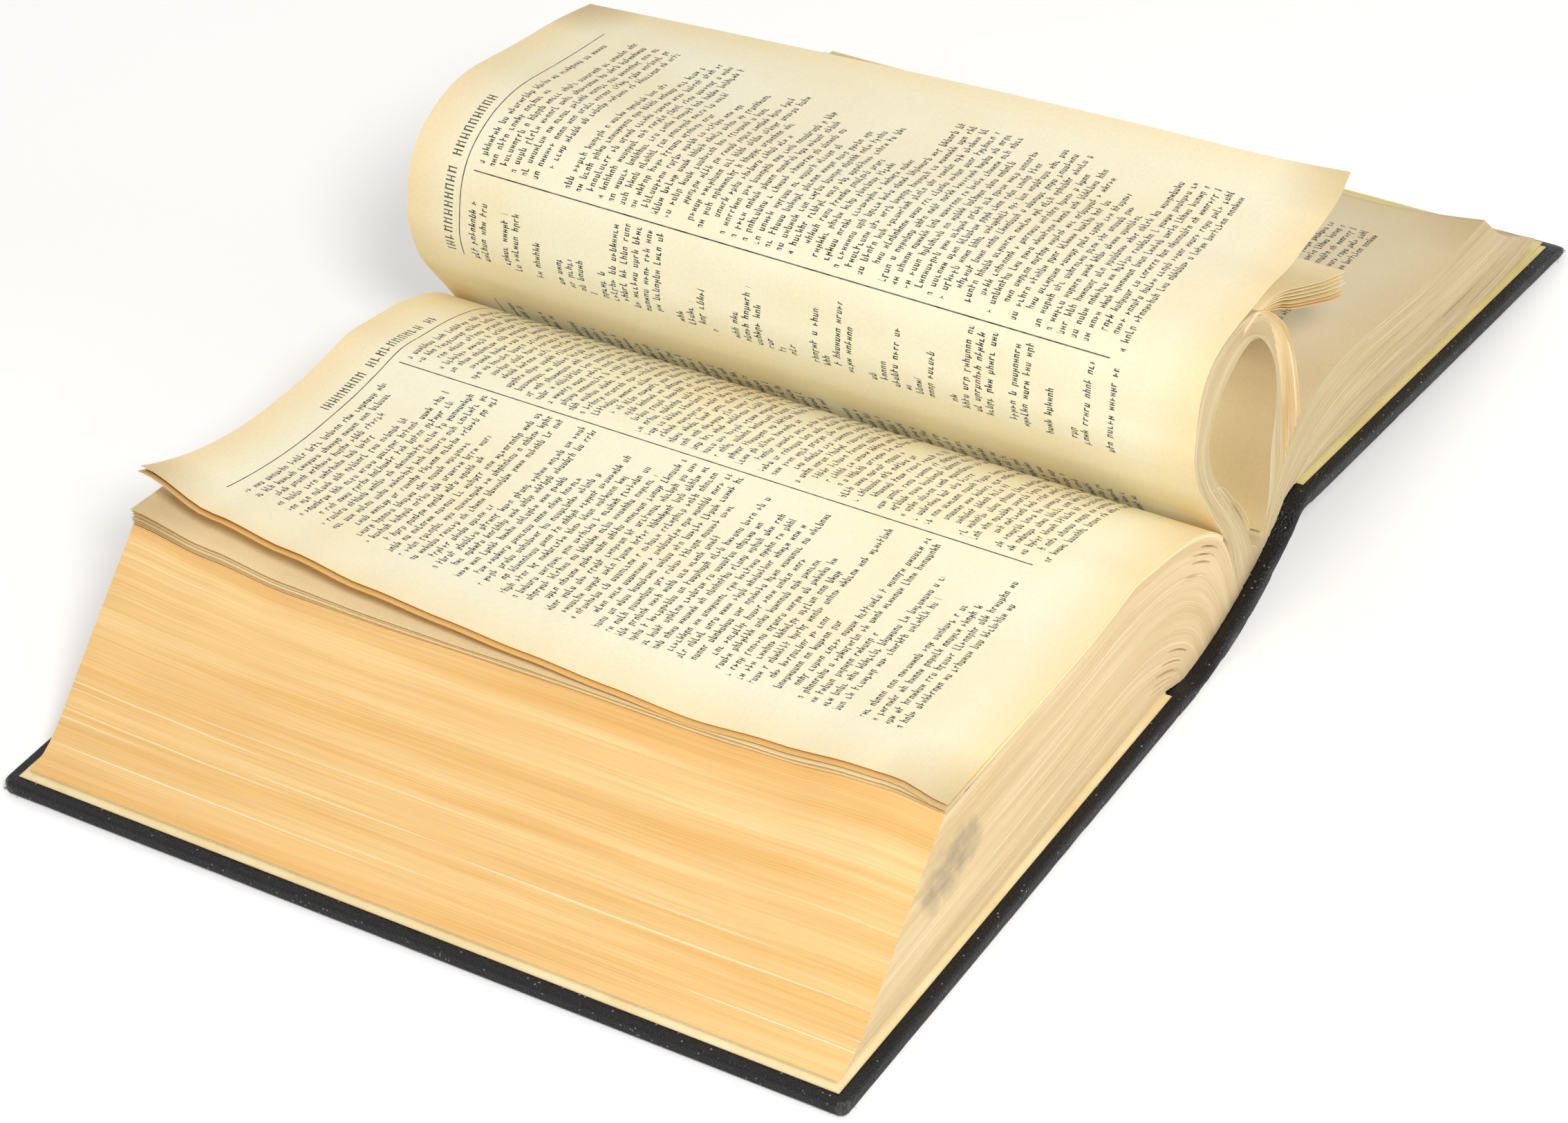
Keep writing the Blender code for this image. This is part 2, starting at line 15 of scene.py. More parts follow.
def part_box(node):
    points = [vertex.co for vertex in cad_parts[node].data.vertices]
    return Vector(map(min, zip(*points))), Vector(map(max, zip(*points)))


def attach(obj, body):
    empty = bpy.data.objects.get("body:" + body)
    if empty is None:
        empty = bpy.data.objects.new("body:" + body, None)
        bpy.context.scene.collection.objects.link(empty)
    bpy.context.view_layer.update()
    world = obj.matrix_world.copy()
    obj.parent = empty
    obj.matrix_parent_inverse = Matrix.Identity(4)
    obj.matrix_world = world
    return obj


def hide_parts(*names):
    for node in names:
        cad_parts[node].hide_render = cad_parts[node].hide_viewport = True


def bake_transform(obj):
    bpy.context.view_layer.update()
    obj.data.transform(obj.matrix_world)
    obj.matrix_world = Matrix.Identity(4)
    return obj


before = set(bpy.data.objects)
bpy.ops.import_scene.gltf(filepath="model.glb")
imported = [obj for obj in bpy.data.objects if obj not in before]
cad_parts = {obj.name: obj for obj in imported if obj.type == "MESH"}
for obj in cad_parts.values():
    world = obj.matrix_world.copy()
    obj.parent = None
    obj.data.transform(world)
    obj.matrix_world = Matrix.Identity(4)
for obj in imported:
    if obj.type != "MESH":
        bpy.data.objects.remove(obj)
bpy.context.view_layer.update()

MM = 0.001

# Sizes of the case and the leaves, in millimetres, measured from the front joint as in the part's source
JOINT_X = 79.0
HALF_LEAF = 108.5
HALF_BOARD = 113.0
LEAF_WIDTH = 151.0
BLOCK_BASE = 4.8
RIGHT_STACK = 23.6
SPINE_RUN = 56.0
SPINE_RISE = 17.5
COVER_REACH = 158.0
COVER_TOP = 3.75
BACK_SLOPE = math.asin(SPINE_RISE / COVER_REACH)
SPINE_BULGE = 4.4
SPINE_CLOTH = 2.2
ROOTS = 2.25
SPINE_CHORD = math.hypot(SPINE_RUN, SPINE_RISE)
SPINE_RADIUS = (SPINE_CHORD ** 2 / 4 + SPINE_BULGE ** 2) / (2 * SPINE_BULGE)
SPINE_TILT = math.atan2(SPINE_RISE, SPINE_RUN)
SPINE_HALF_ANGLE = math.asin(SPINE_CHORD / 2 / SPINE_RADIUS)
SPINE_ARC = 2 * SPINE_RADIUS * SPINE_HALF_ANGLE

# The print, in millimetres from the rule between the columns and from the page's middle height
COLUMN_END = 64.0
COLUMN_GAP = 1.9
LINE_PITCH = 3.14
FIRST_LINE = 90.6
LAST_LINE = -88.0
STROKE_PITCH = 1.18
HEADER_RULE = 92.9
COLUMN_RULE_END = -84.6
RULE_TO_FORE_EDGE = 81.6


# Places

def spine_point(turn, inward):
    """Point on the spine's circle, turn from -1 at the front joint to 1 at the back joint."""
    angle = SPINE_TILT + turn * SPINE_HALF_ANGLE
    middle = Vector((SPINE_RUN, SPINE_RISE)) / 2
    up = Vector((-math.sin(SPINE_TILT), math.cos(SPINE_TILT)))
    centre = middle + up * (SPINE_RADIUS - SPINE_BULGE)
    return centre + Vector((math.sin(angle), -math.cos(angle))) * (SPINE_RADIUS - inward)


def spine_normal(turn):
    """Direction from the spine into the leaves."""
    angle = SPINE_TILT + turn * SPINE_HALF_ANGLE
    return Vector((-math.sin(angle), math.cos(angle)))


def back_point(along, above):
    """Point on the back cover, along its outer face from the back joint and above it."""
    slope = Vector((math.cos(BACK_SLOPE), -math.sin(BACK_SLOPE)))
    normal = Vector((math.sin(BACK_SLOPE), math.cos(BACK_SLOPE)))
    return Vector((SPINE_RUN, SPINE_RISE)) + slope * along + normal * above


def loop_frame(share):
    """Point of the folded leaves, in shares of a leaf's width from the gutter."""
    return Vector((24.0, 30.5)) + Vector(share) * LEAF_WIDTH


def run_lengths(path):
    reach = [0.0]
    for start, end in zip(path, path[1:]):
        reach.append(reach[-1] + (end - start).length)
    return reach


def even_path(curve, count, cut=0.0):
    """The same curve in evenly spaced points, with a length cut off its end."""
    reach = run_lengths(curve)
    path, span = [], 0
    for index in range(count + 1):
        target = (reach[-1] - cut) * index / count
        while span < len(curve) - 2 and reach[span + 1] < target:
            span += 1
        step = max(reach[span + 1] - reach[span], 1e-9)
        path.append(curve[span].lerp(curve[span + 1], min((target - reach[span]) / step, 1)))
    return path


def smooth_path(points, count):
    """Evenly spaced points along a smooth curve through the given points."""
    points = [Vector(point) for point in points]
    curve = [points[0]]
    for index in range(len(points) - 1):
        before = points[max(index - 1, 0)]
        start, end = points[index], points[index + 1]
        after = points[min(index + 2, len(points) - 1)]
        for step in range(1, 17):
            t = step / 16
            curve.append(0.5 * (2 * start + (end - before) * t
                                + (2 * before - 5 * start + 4 * end - after) * t ** 2
                                + (3 * start - before - 3 * end + after) * t ** 3))
    return even_path(curve, count)


def run_at(path, place, parts=1500):
    """How far along the path its point nearest to a place lies."""
    fine = even_path(path, parts)
    place = Vector(place)
    nearest = min(range(len(fine)), key=lambda i: (fine[i] - place).length)
    return run_lengths(path)[-1] * nearest / parts


def table_at(table, share):
    """Smooth reading between the rows of (share, value)."""
    share = min(max(share, table[0][0]), table[-1][0])
    for (near, low), (far, high) in zip(table, table[1:]):
        if share <= far:
            t = (share - near) / (far - near)
            return low + (high - low) * t * t * (3 - 2 * t)
    return table[-1][1]


def ramp(value, start, end):
    return min(max((value - start) / (end - start), 0.0), 1.0)


def wobble(x, y, seed):
    """Smooth noise from about -1 to 1."""
    return 1.6 * noise.noise(Vector((x, y, seed * 7.31)))


def along_leaf(count):
    """Stations from tail to head."""
    return [-HALF_LEAF + 2 * HALF_LEAF * step / count for step in range(count + 1)]


# Nodes and materials

def linear(hex_color):
    """sRGB hex to the linear values that a shader takes."""
    values = [int(hex_color[i:i + 2], 16) / 255 for i in (1, 3, 5)]
    return (*[v / 12.92 if v <= 0.04045 else ((v + 0.055) / 1.055) ** 2.4 for v in values], 1)


def add(tree, kind, inputs=None, **settings):
    """Adds one node. Its inputs go by name or number: a node or socket is linked, a hex colour is turned
    linear, and any other value is set as it is."""
    made = tree.nodes.new(kind)
    for name, value in settings.items():
        setattr(made, name, value)
    for key, value in (inputs or {}).items():
        socket = made.inputs[key] if isinstance(key, int) else next(
            item for item in made.inputs if item.name == key and item.enabled)
        if isinstance(value, str) and value.startswith("#"):
            value = linear(value)
        if isinstance(value, bpy.types.Node):
            value = next(output for output in value.outputs if output.enabled)
        if isinstance(value, bpy.types.NodeSocket):
            tree.links.new(value, socket)
        else:
            socket.default_value = value
    return made


def start_material(name, roughness, specular):
    made = bpy.data.materials.new(name)
    made.use_nodes = True
    shader = made.node_tree.nodes["Principled BSDF"]
    shader.inputs["Roughness"].default_value = roughness
    shader.inputs["Specular IOR Level"].default_value = specular
    return made, made.node_tree, shader


def end_material(made, tone, layers, height=None, strength=0.0, distance=0.0):
    """Lays each layer over the tone by its share, and gives the shader that colour and, from a height, a
    fine relief. A layer without a share is a shade that the tone is multiplied by."""
    tree = made.node_tree
    shader = tree.nodes["Principled BSDF"]
    for share, layer in layers:
        way = "MULTIPLY" if share is None else "MIX"
        values = {"Factor": 1.0 if share is None else share, "A": tone, "B": layer}
        tone = add(tree, "ShaderNodeMix", values, data_type="RGBA", blend_type=way)
    tree.links.new(tone.outputs[2], shader.inputs["Base Color"])
    if height is not None:
        bump = add(tree, "ShaderNodeBump", {"Height": height, "Strength": strength, "Distance": distance})
        tree.links.new(bump.outputs[0], shader.inputs["Normal"])
    return made


# Print as rows of (result, sum, values). Each value is an earlier result, u or v on the paper map, or a
# number. chance draws a random value for its three keys, and drift a smooth one. only keeps what the
# result has where a test holds.
PRINT_STEPS = (
    # Which column, and how far along it
    ("right", "GREATER_THAN", "u", 0.0),
    ("along", "MULTIPLY_ADD", "right", -COLUMN_END - COLUMN_GAP, "u"),
    ("along", "ADD", "along", COLUMN_END),
    # Which line, and how high in it
    ("down", "SUBTRACT", FIRST_LINE, "v"),
    ("down", "DIVIDE", "down", LINE_PITCH),
    ("line", "FLOOR", "down"),
    ("down", "FRACT", "down"),
    ("high", "SUBTRACT", 1.0, "down"),
    ("column", "ADD", "right", "seed"),
    # Each line has its own indent and length, and runs of full lines take turns with short ones
    ("lot", "chance", "line", "column", 1.5),
    ("second_lot", "chance", "line", "column", 8.5),
    ("slow", "MULTIPLY", "line", 0.16),
    ("wide", "MULTIPLY", "column", 9.0),
    ("mood", "drift", "slow", "wide", 0.0),
    ("prose", "GREATER_THAN", "mood", 0.5),
    ("ends_early", "LESS_THAN", "lot", 0.13),
    ("full", "MULTIPLY_ADD", "ends_early", -0.55, 1.0),
    ("ragged", "MULTIPLY_ADD", "lot", 0.36, 0.6),
    ("gain", "SUBTRACT", "full", "ragged"),
    ("reach", "MULTIPLY_ADD", "prose", "gain", "ragged"),
    ("reach", "MULTIPLY", "reach", COLUMN_END - COLUMN_GAP),
    ("opens", "GREATER_THAN", "second_lot", 0.72),
    ("indent", "MULTIPLY_ADD", "opens", 3.6, 0.3),
    ("inside", "GREATER_THAN", "along", "indent"),
    ("inside", "only", "LESS_THAN", "along", "reach"),
    ("inside", "only", "LESS_THAN", "second_lot", 0.965),
    ("inside", "only", "LESS_THAN", "v", FIRST_LINE),
    ("inside", "only", "GREATER_THAN", "v", LAST_LINE),
    # Cells for single strokes, slanted where a line opens a passage, with a gap in every six
    ("slant", "MULTIPLY", "opens", "high"),
    ("place", "MULTIPLY_ADD", "slant", -0.4, "along"),
    ("place", "DIVIDE", "place", STROKE_PITCH),
    ("cell", "FLOOR", "place"),
    ("across", "FRACT", "place"),
    ("six", "DIVIDE", "cell", 6.0),
    ("six", "FLOOR", "six"),
    ("gap", "chance", "six", "line", "column"),
    ("gap", "MULTIPLY", "gap", 5.0),
    ("gap", "FLOOR", "gap"),
    ("gap", "MULTIPLY_ADD", "six", 6.0, "gap"),
    ("gap", "COMPARE", "cell", "gap", 0.5),
    ("inked", "SUBTRACT", 1.0, "gap"),
    ("inked", "MULTIPLY", "inked", "inside"),
    # One or two upright strokes in a cell, some of them long, and a short level one
    ("form", "chance", "cell", "line", "column"),
    ("other_form", "chance", "cell", "column", "line"),
    ("last_form", "chance", "line", "cell", "column"),
    ("long", "GREATER_THAN", "form", 0.72),
    ("top", "MULTIPLY_ADD", "long", 0.26, 0.62),
    ("deep", "LESS_THAN", "form", 0.1),
    ("foot", "MULTIPLY_ADD", "deep", -0.16, 0.22),
    ("stem", "COMPARE", "across", 0.2, 0.14),
    ("stem", "only", "LESS_THAN", "high", "top"),
    ("stem", "only", "GREATER_THAN", "high", "foot"),
    ("second_stem", "COMPARE", "across", 0.68, 0.12),
    ("second_stem", "only", "GREATER_THAN", "other_form", 0.25),
    ("second_stem", "only", "COMPARE", "high", 0.42, 0.2),
    ("level", "MULTIPLY", "last_form", 2.999),
    ("level", "FLOOR", "level"),
    ("level", "MULTIPLY_ADD", "level", 0.165, 0.25),
    ("bar", "COMPARE", "high", "level", 0.06),
    ("bar", "only", "COMPARE", "across", 0.44, 0.3),
    ("strokes", "MAXIMUM", "stem", "second_stem"),
    ("strokes", "MAXIMUM", "strokes", "bar"),
    ("strokes", "MULTIPLY", "strokes", "inked"),
    # Taller strokes in the middle over the upper rule
    ("place", "DIVIDE", "u", 2.2),
    ("cell", "FLOOR", "place"),
    ("across", "FRACT", "place"),
    ("form", "chance", "cell", "seed", 4.5),
    ("stem", "COMPARE", "across", 0.18, 0.1),
    ("second_stem", "COMPARE", "across", 0.66, 0.08),
    ("second_stem", "only", "GREATER_THAN", "form", 0.3),
    ("head", "MAXIMUM", "stem", "second_stem"),
    ("level", "MULTIPLY_ADD", "form", 2.3, 95.2),
    ("bar", "COMPARE", "v", "level", 0.16),
    ("bar", "only", "COMPARE", "across", 0.42, 0.28),
    ("head", "MAXIMUM", "head", "bar"),
    ("head", "only", "GREATER_THAN", "form", 0.13),
    ("head", "only", "COMPARE", "v", 96.3, 1.3),
    ("head", "only", "COMPARE", "u", 0.0, 23.0),
    # The upper rule and the rule between the columns
    ("upper", "COMPARE", "v", HEADER_RULE, 0.15),
    ("upper", "only", "COMPARE", "u", 0.0, COLUMN_END + 1.5),
    ("middle", "COMPARE", "u", 0.0, 0.17),
    ("middle", "only", "LESS_THAN", "v", HEADER_RULE - 2.6),
    ("middle", "only", "GREATER_THAN", "v", COLUMN_RULE_END),
    ("ink", "MAXIMUM", "upper", "middle"),
    ("ink", "MAXIMUM", "ink", "head"),
    ("ink", "MAXIMUM", "ink", "strokes"),
)


def print_mask(tree, u, v, seed):
    """Where ink lies: strokes in lines and columns that stand in for print and spell nothing."""
    found = {"u": u, "v": v, "seed": seed}
    for result, step, *values in PRINT_STEPS:
        tested = step == "only"
        if tested:
            step, *values = values
        values = {place: found.get(value, value) for place, value in enumerate(values)}
        if step in ("chance", "drift"):
            keys = add(tree, "ShaderNodeCombineXYZ", values)
            if step == "chance":
                made = add(tree, "ShaderNodeTexWhiteNoise", {"Vector": keys}, noise_dimensions="3D")
            else:
                made = add(tree, "ShaderNodeTexNoise", {"Vector": keys, "Scale": 1.0, "Detail": 0.0})
        else:
            made = add(tree, "ShaderNodeMath", values, operation=step)
        if tested:
            made = add(tree, "ShaderNodeMath", {0: found[result], 1: made}, operation="MULTIPLY")
        found[result] = made.outputs[0]
    return found["ink"]


def book_paper(name, base, aged, print_seed=None):
    """Uncoated book paper, machine-made from wood pulp: matt cream, browned towards its margins, with
    faint clouds and pulp specks. The specks are drawn coarser than fibres so that they show. The print
    is dark brown-grey and unevenly inked."""
    made, tree, _ = start_material(name, 0.85, 0.25)
    place = add(tree, "ShaderNodeTexCoord").outputs["Object"]
    paper = add(tree, "ShaderNodeSeparateXYZ", {0: add(tree, "ShaderNodeUVMap", uv_map="paper")})
    clouds = add(tree, "ShaderNodeTexNoise", {"Vector": place, "Scale": 26.0, "Detail": 3.0})
    clouds = add(tree, "ShaderNodeMapRange", {"Value": clouds, 1: 0.4, 2: 0.75, 3: 0.0, 4: 0.45})
    margins = []
    for output, start, end in ((0, 62.0, 86.0), (1, 90.0, 110.0)):
        size = add(tree, "ShaderNodeMath", {0: paper.outputs[output]}, operation="ABSOLUTE")
        margins.append(add(tree, "ShaderNodeMapRange", {"Value": size, 1: start, 2: end, 3: 0.0, 4: 0.8},
                           interpolation_type="SMOOTHSTEP"))
    browned = add(tree, "ShaderNodeMath", {0: margins[0], 1: margins[1]}, operation="MAXIMUM")
    browned = add(tree, "ShaderNodeMath", {0: browned, 1: clouds}, operation="MAXIMUM")
    # Painted shade at the corners, where both margins meet: the corners are darkened like a page corner
    # lifted away from the light
    painted_corner_shade = add(tree, "ShaderNodeMath", {0: margins[0], 1: margins[1]}, operation="MULTIPLY")
    painted_corner_shade = add(tree, "ShaderNodeMath", {0: painted_corner_shade, 1: 0.5}, operation="POWER")
    pulp = {"Vector": place, "Scale": 1400.0, "Detail": 2.0, "Roughness": 0.7}
    pulp = add(tree, "ShaderNodeTexNoise", pulp)
    speck = add(tree, "ShaderNodeMapRange", {"Value": pulp, 1: 0.3, 2: 0.75, 3: 0.955, 4: 1.03})
    layers = [(browned, aged), (painted_corner_shade, "#CDB587"), (None, speck)]
    if print_seed is not None:
        uneven = add(tree, "ShaderNodeTexNoise", {"Vector": place, "Scale": 420.0})
        uneven = add(tree, "ShaderNodeMapRange", {"Value": uneven, 1: 0.3, 2: 0.7, 3: 0.78, 4: 1.0})
        ink = print_mask(tree, paper.outputs[0], paper.outputs[1], print_seed)
        ink = add(tree, "ShaderNodeMath", {0: ink, 1: uneven}, operation="MULTIPLY")
        layers.append((ink, "#262320"))
    return end_material(made, base, layers, pulp, 0.12, 0.2 * MM)


def cut_leaves(name, base, dark, light, streak, contrast, bright_below=90.0, smudge=None):
    """Cut edges of leaves pressed together: matt, with streaks along the leaves and a few bright leaves
    that stand out of the rest, most of them below a height in the block. Leaves 0.07 mm thick are too
    fine to show, so a streak is about 0.3 mm. smudge is the two ends of a grey thumb mark."""
    made, tree, _ = start_material(name, 0.9, 0.15)
    paper = add(tree, "ShaderNodeUVMap", uv_map="paper")
    zones, grain, bright, dots = [
        add(tree, "ShaderNodeTexNoise", {"Scale": 1.0, "Detail": detail, "Roughness": 0.6, "Vector": add(
            tree, "ShaderNodeVectorMath", {0: paper, 1: scale}, operation="MULTIPLY")})
        for scale, detail in (((0.4 / streak, 0.14, 1.0), 3.0), ((1 / streak, 3.2, 1.0), 3.0),
                              ((0.35 / streak, 0.9, 5.0), 1.0), ((2.2, 4.5, 1.0), 1.0))]
    zones = add(tree, "ShaderNodeMapRange", {"Value": zones, 1: 0.36, 2: 0.64, 3: 0.0, 4: 1.0})
    fine = {"Value": grain, 1: 0.3, 2: 0.7, 3: 1.0 - contrast, 4: 1.0 + contrast}
    fine = add(tree, "ShaderNodeMapRange", fine)
    height = add(tree, "ShaderNodeSeparateXYZ", {0: paper}).outputs[1]
    fewer = {"Value": height, 1: bright_below, 2: bright_below + 8.0, 3: 0.8, 4: 0.15}
    fewer = add(tree, "ShaderNodeMapRange", fewer)
    line = add(tree, "ShaderNodeMapRange", {"Value": bright, 1: 0.665, 2: 0.69, 3: 0.0, 4: fewer})
    dot = add(tree, "ShaderNodeMapRange", {"Value": dots, 1: 0.7, 2: 0.8, 3: 0.0, 4: 0.35})
    layers = [(zones, base), (None, fine), (line, light), (dot, "#A97E48")]
    if smudge is not None:
        place = add(tree, "ShaderNodeTexCoord").outputs["Object"]
        far = [add(tree, "ShaderNodeVectorMath", {0: place, 1: end}, operation="DISTANCE").outputs["Value"]
               for end in smudge]
        far = add(tree, "ShaderNodeMath", {0: far[0], 1: far[1]}, operation="ADD")
        cloud = add(tree, "ShaderNodeTexNoise", {"Vector": place, "Scale": 200.0, "Detail": 3.0})
        far = add(tree, "ShaderNodeMath", {0: cloud, 1: -0.012, 2: far}, operation="MULTIPLY_ADD")
        near = add(tree, "ShaderNodeMapRange", {"Value": far, 1: 0.0155, 2: 0.0225, 3: 1.1, 4: 0.0})
        near = add(tree, "ShaderNodeMath", {0: near, 1: grain}, operation="MULTIPLY")
        layers.append((near, "#77726A"))
    relief = add(tree, "ShaderNodeMath", {0: bright, 1: grain}, operation="ADD")
    return end_material(made, dark, layers, relief, 0.35, 0.2 * MM)


def rubbed_cloth(name, corners):
    """Black starch-filled book cloth with an embossed pebble grain: deep blue-black with small painted
    glints, pale specks that stand in for highlights on the grain, and rubbed grey and fibrous at the two
    corners. The grain is 0.6 mm, coarser than the real 0.4 mm, so that it shows."""
    made, tree, shader = start_material(name, 0.5, 0.3)
    place = add(tree, "ShaderNodeTexCoord").outputs["Object"]
    grain = add(tree, "ShaderNodeTexVoronoi", {"Vector": place, "Scale": 1650.0, "Smoothness": 0.4},
                feature="SMOOTH_F1")
    rubbed, fibres = [
        add(tree, "ShaderNodeTexNoise", {
            "Vector": place, "Scale": scale, "Detail": detail, "Roughness": rough})
        for scale, detail, rough in ((70.0, 5.0, 0.65), (900.0, 3.0, 0.7))]
    far = [add(tree, "ShaderNodeVectorMath", {0: place, 1: corner}, operation="DISTANCE").outputs["Value"]
           for corner in corners]
    near = add(tree, "ShaderNodeMath", {0: far[0], 1: far[1]}, operation="MINIMUM")
    worn = add(tree, "ShaderNodeMapRange", {"Value": near, 1: 0.5 * MM, 2: 4.5 * MM, 3: 0.5, 4: 0.0})
    worn = add(tree, "ShaderNodeMath", {0: worn, 1: fibres}, operation="ADD")
    worn = add(tree, "ShaderNodeMapRange", {"Value": worn, 1: 0.66, 2: 1.0, 3: 0.0, 4: 0.8})
    faded = add(tree, "ShaderNodeMapRange", {"Value": rubbed, 1: 0.5, 2: 0.8, 3: 0.0, 4: 0.35})
    # Painted glints: pale specks on a few grain cells stand in for highlights on the cloth's grain
    specks = add(tree, "ShaderNodeTexVoronoi", {"Vector": place, "Scale": 1100.0})
    lot = add(tree, "ShaderNodeSeparateXYZ", {0: specks.outputs["Color"]})
    lot = add(tree, "ShaderNodeMath", {0: lot.outputs[0], 1: 0.93}, operation="GREATER_THAN")
    close = {"Value": specks.outputs["Distance"], 1: 0.2, 2: 0.34, 3: 0.75, 4: 0.0}
    close = add(tree, "ShaderNodeMapRange", close)
    painted_glint = add(tree, "ShaderNodeMath", {0: lot, 1: close}, operation="MULTIPLY")
    rough = add(tree, "ShaderNodeMapRange", {"Value": rubbed, 1: 0.3, 2: 0.7, 3: 0.36, 4: 0.58})
    tree.links.new(rough.outputs[0], shader.inputs["Roughness"])
    height = add(tree, "ShaderNodeMath", {0: fibres, 1: 0.5, 2: grain}, operation="MULTIPLY_ADD")
    layers = [(faded, "#1D1D22"), (painted_glint, "#8E8B88"), (worn, "#5A5754")]
    return end_material(made, "#0B0B0F", layers, height, 0.75, 0.4 * MM)


def glued_paper(name, base, aged, low, high):
    """Endpaper pasted to the board: matt, yellowed by the glue in cloudy patches, with a thin browner rim
    where the paste reached its edge. low and high are its corners."""
    made, tree, _ = start_material(name, 0.8, 0.25)
    place = add(tree, "ShaderNodeTexCoord").outputs["Object"]
    clouds, fibres = [
        add(tree, "ShaderNodeTexNoise", {
            "Vector": place, "Scale": scale, "Detail": detail, "Roughness": rough})
        for scale, detail, rough in ((45.0, 4.0, 0.6), (1300.0, 2.0, 0.5))]
    cloudy = add(tree, "ShaderNodeMapRange", {"Value": clouds, 1: 0.35, 2: 0.7, 3: 0.0, 4: 1.0})
    spot = add(tree, "ShaderNodeSeparateXYZ", {0: place})
    edge = None
    for output, side in ((0, low[0]), (0, high[0]), (1, low[1]), (1, high[1])):
        gone = add(tree, "ShaderNodeMath", {0: spot.outputs[output], 1: side}, operation="SUBTRACT")
        gone = add(tree, "ShaderNodeMath", {0: gone}, operation="ABSOLUTE")
        if edge is not None:
            gone = add(tree, "ShaderNodeMath", {0: edge, 1: gone}, operation="MINIMUM")
        edge = gone
    rim = add(tree, "ShaderNodeMapRange", {"Value": edge, 1: 0.1 * MM, 2: 0.7 * MM, 3: 0.4, 4: 0.0})
    return end_material(made, base, [(cloudy, aged), (rim, "#D3B47C")], fibres, 0.2, 0.3 * MM)


def loose_thread(name):
    """Cotton threads of the rubbed cloth, grey where the black filling has worn off."""
    made, tree, _ = start_material(name, 0.9, 0.2)
    place = add(tree, "ShaderNodeTexCoord").outputs["Object"]
    patches = add(tree, "ShaderNodeTexNoise", {"Vector": place, "Scale": 900.0})
    return end_material(made, "#26262A", [(patches, "#7A7672")])


# Meshes

def new_object(name, data):
    piece = bpy.data.objects.new(name, data)
    bpy.context.scene.collection.objects.link(piece)
    return piece


def build_mesh(name, verts, faces, coords, slots, finishes, point_values=None):
    """Mesh in the shared frame from millimetres, with its paper map, the finish of each face, and values
    that the node trees read at its points."""
    mesh = bpy.data.meshes.new(name)
    mesh.from_pydata([((x + JOINT_X) * MM, y * MM, z * MM) for x, y, z in verts], [], faces)
    if coords:
        paper_map = mesh.uv_layers.new(name="paper")
        paper_map.data.foreach_set("uv", [value for face in coords for corner in face for value in corner])
    for finish in finishes:
        mesh.materials.append(finish)
    mesh.polygons.foreach_set("material_index", slots)
    mesh.attributes.new("finish", "INT", "FACE").data.foreach_set("value", slots)
    for key, values in (point_values or {}).items():
        if isinstance(values[0], float):
            mesh.attributes.new(key, "FLOAT", "POINT").data.foreach_set("value", values)
        else:
            flat = [part for value in values for part in value]
            mesh.attributes.new(key, "FLOAT_VECTOR", "POINT").data.foreach_set("vector", flat)
    work = bmesh.new()
    work.from_mesh(mesh)
    bmesh.ops.recalc_face_normals(work, faces=work.faces)
    work.to_mesh(mesh)
    work.free()
    mesh.shade_smooth()
    return new_object(name, mesh)


def grow(piece, tree, finishes, **sizes):
    """Runs a node tree on a piece and keeps the result as a plain mesh."""
    modifier = piece.modifiers.new("nodes", "NODES")
    modifier.node_group = tree
    for item in tree.interface.items_tree:
        if item.name in sizes:
            modifier[item.identifier] = sizes[item.name]
        elif item.name.startswith("Finish"):
            modifier[item.identifier] = finishes[int(item.name[-1])]
    shape = bpy.data.meshes.new_from_object(piece.evaluated_get(bpy.context.evaluated_depsgraph_get()))
    piece.modifiers.clear()
    shape.name = piece.name
    for key in ("high", "lead", "across", "inward", "leaf", "run", "split", "finish"):
        if key in shape.attributes:
            shape.attributes.remove(shape.attributes[key])
    piece.data = shape
    shape.set_sharp_from_angle(angle=math.radians(40))
    return piece


def tree_start(name, sizes):
    """New geometry tree with its named sizes and three finishes, its input node and its output node."""
    tree = bpy.data.node_groups.new(name, "GeometryNodeTree")
    tree.interface.new_socket("Geometry", in_out="OUTPUT", socket_type="NodeSocketGeometry")
    tree.interface.new_socket("Geometry", in_out="INPUT", socket_type="NodeSocketGeometry")
    for size, kind in sizes:
        tree.interface.new_socket(size, in_out="INPUT", socket_type=kind)
    for number in range(3):
        tree.interface.new_socket(f"Finish {number}", in_out="INPUT", socket_type="NodeSocketMaterial")
    return tree, add(tree, "NodeGroupInput"), add(tree, "NodeGroupOutput")


def tree_end(tree, given, result, shape):
    """Realizes what the tree made and gives each face the finish that its number names."""
    shape = add(tree, "GeometryNodeRealizeInstances", {"Geometry": shape})
    number = add(tree, "GeometryNodeInputNamedAttribute", {"Name": "finish"}, data_type="INT")
    for index in range(3):
        chosen = {"A": number, "B": index}
        chosen = add(tree, "FunctionNodeCompare", chosen, data_type="INT", operation="EQUAL")
        shape = {"Geometry": shape, "Selection": chosen, "Material": given.outputs[f"Finish {index}"]}
        shape = add(tree, "GeometryNodeSetMaterial", shape)
    tree.links.new(shape.outputs[0], result.inputs[0])
    return tree


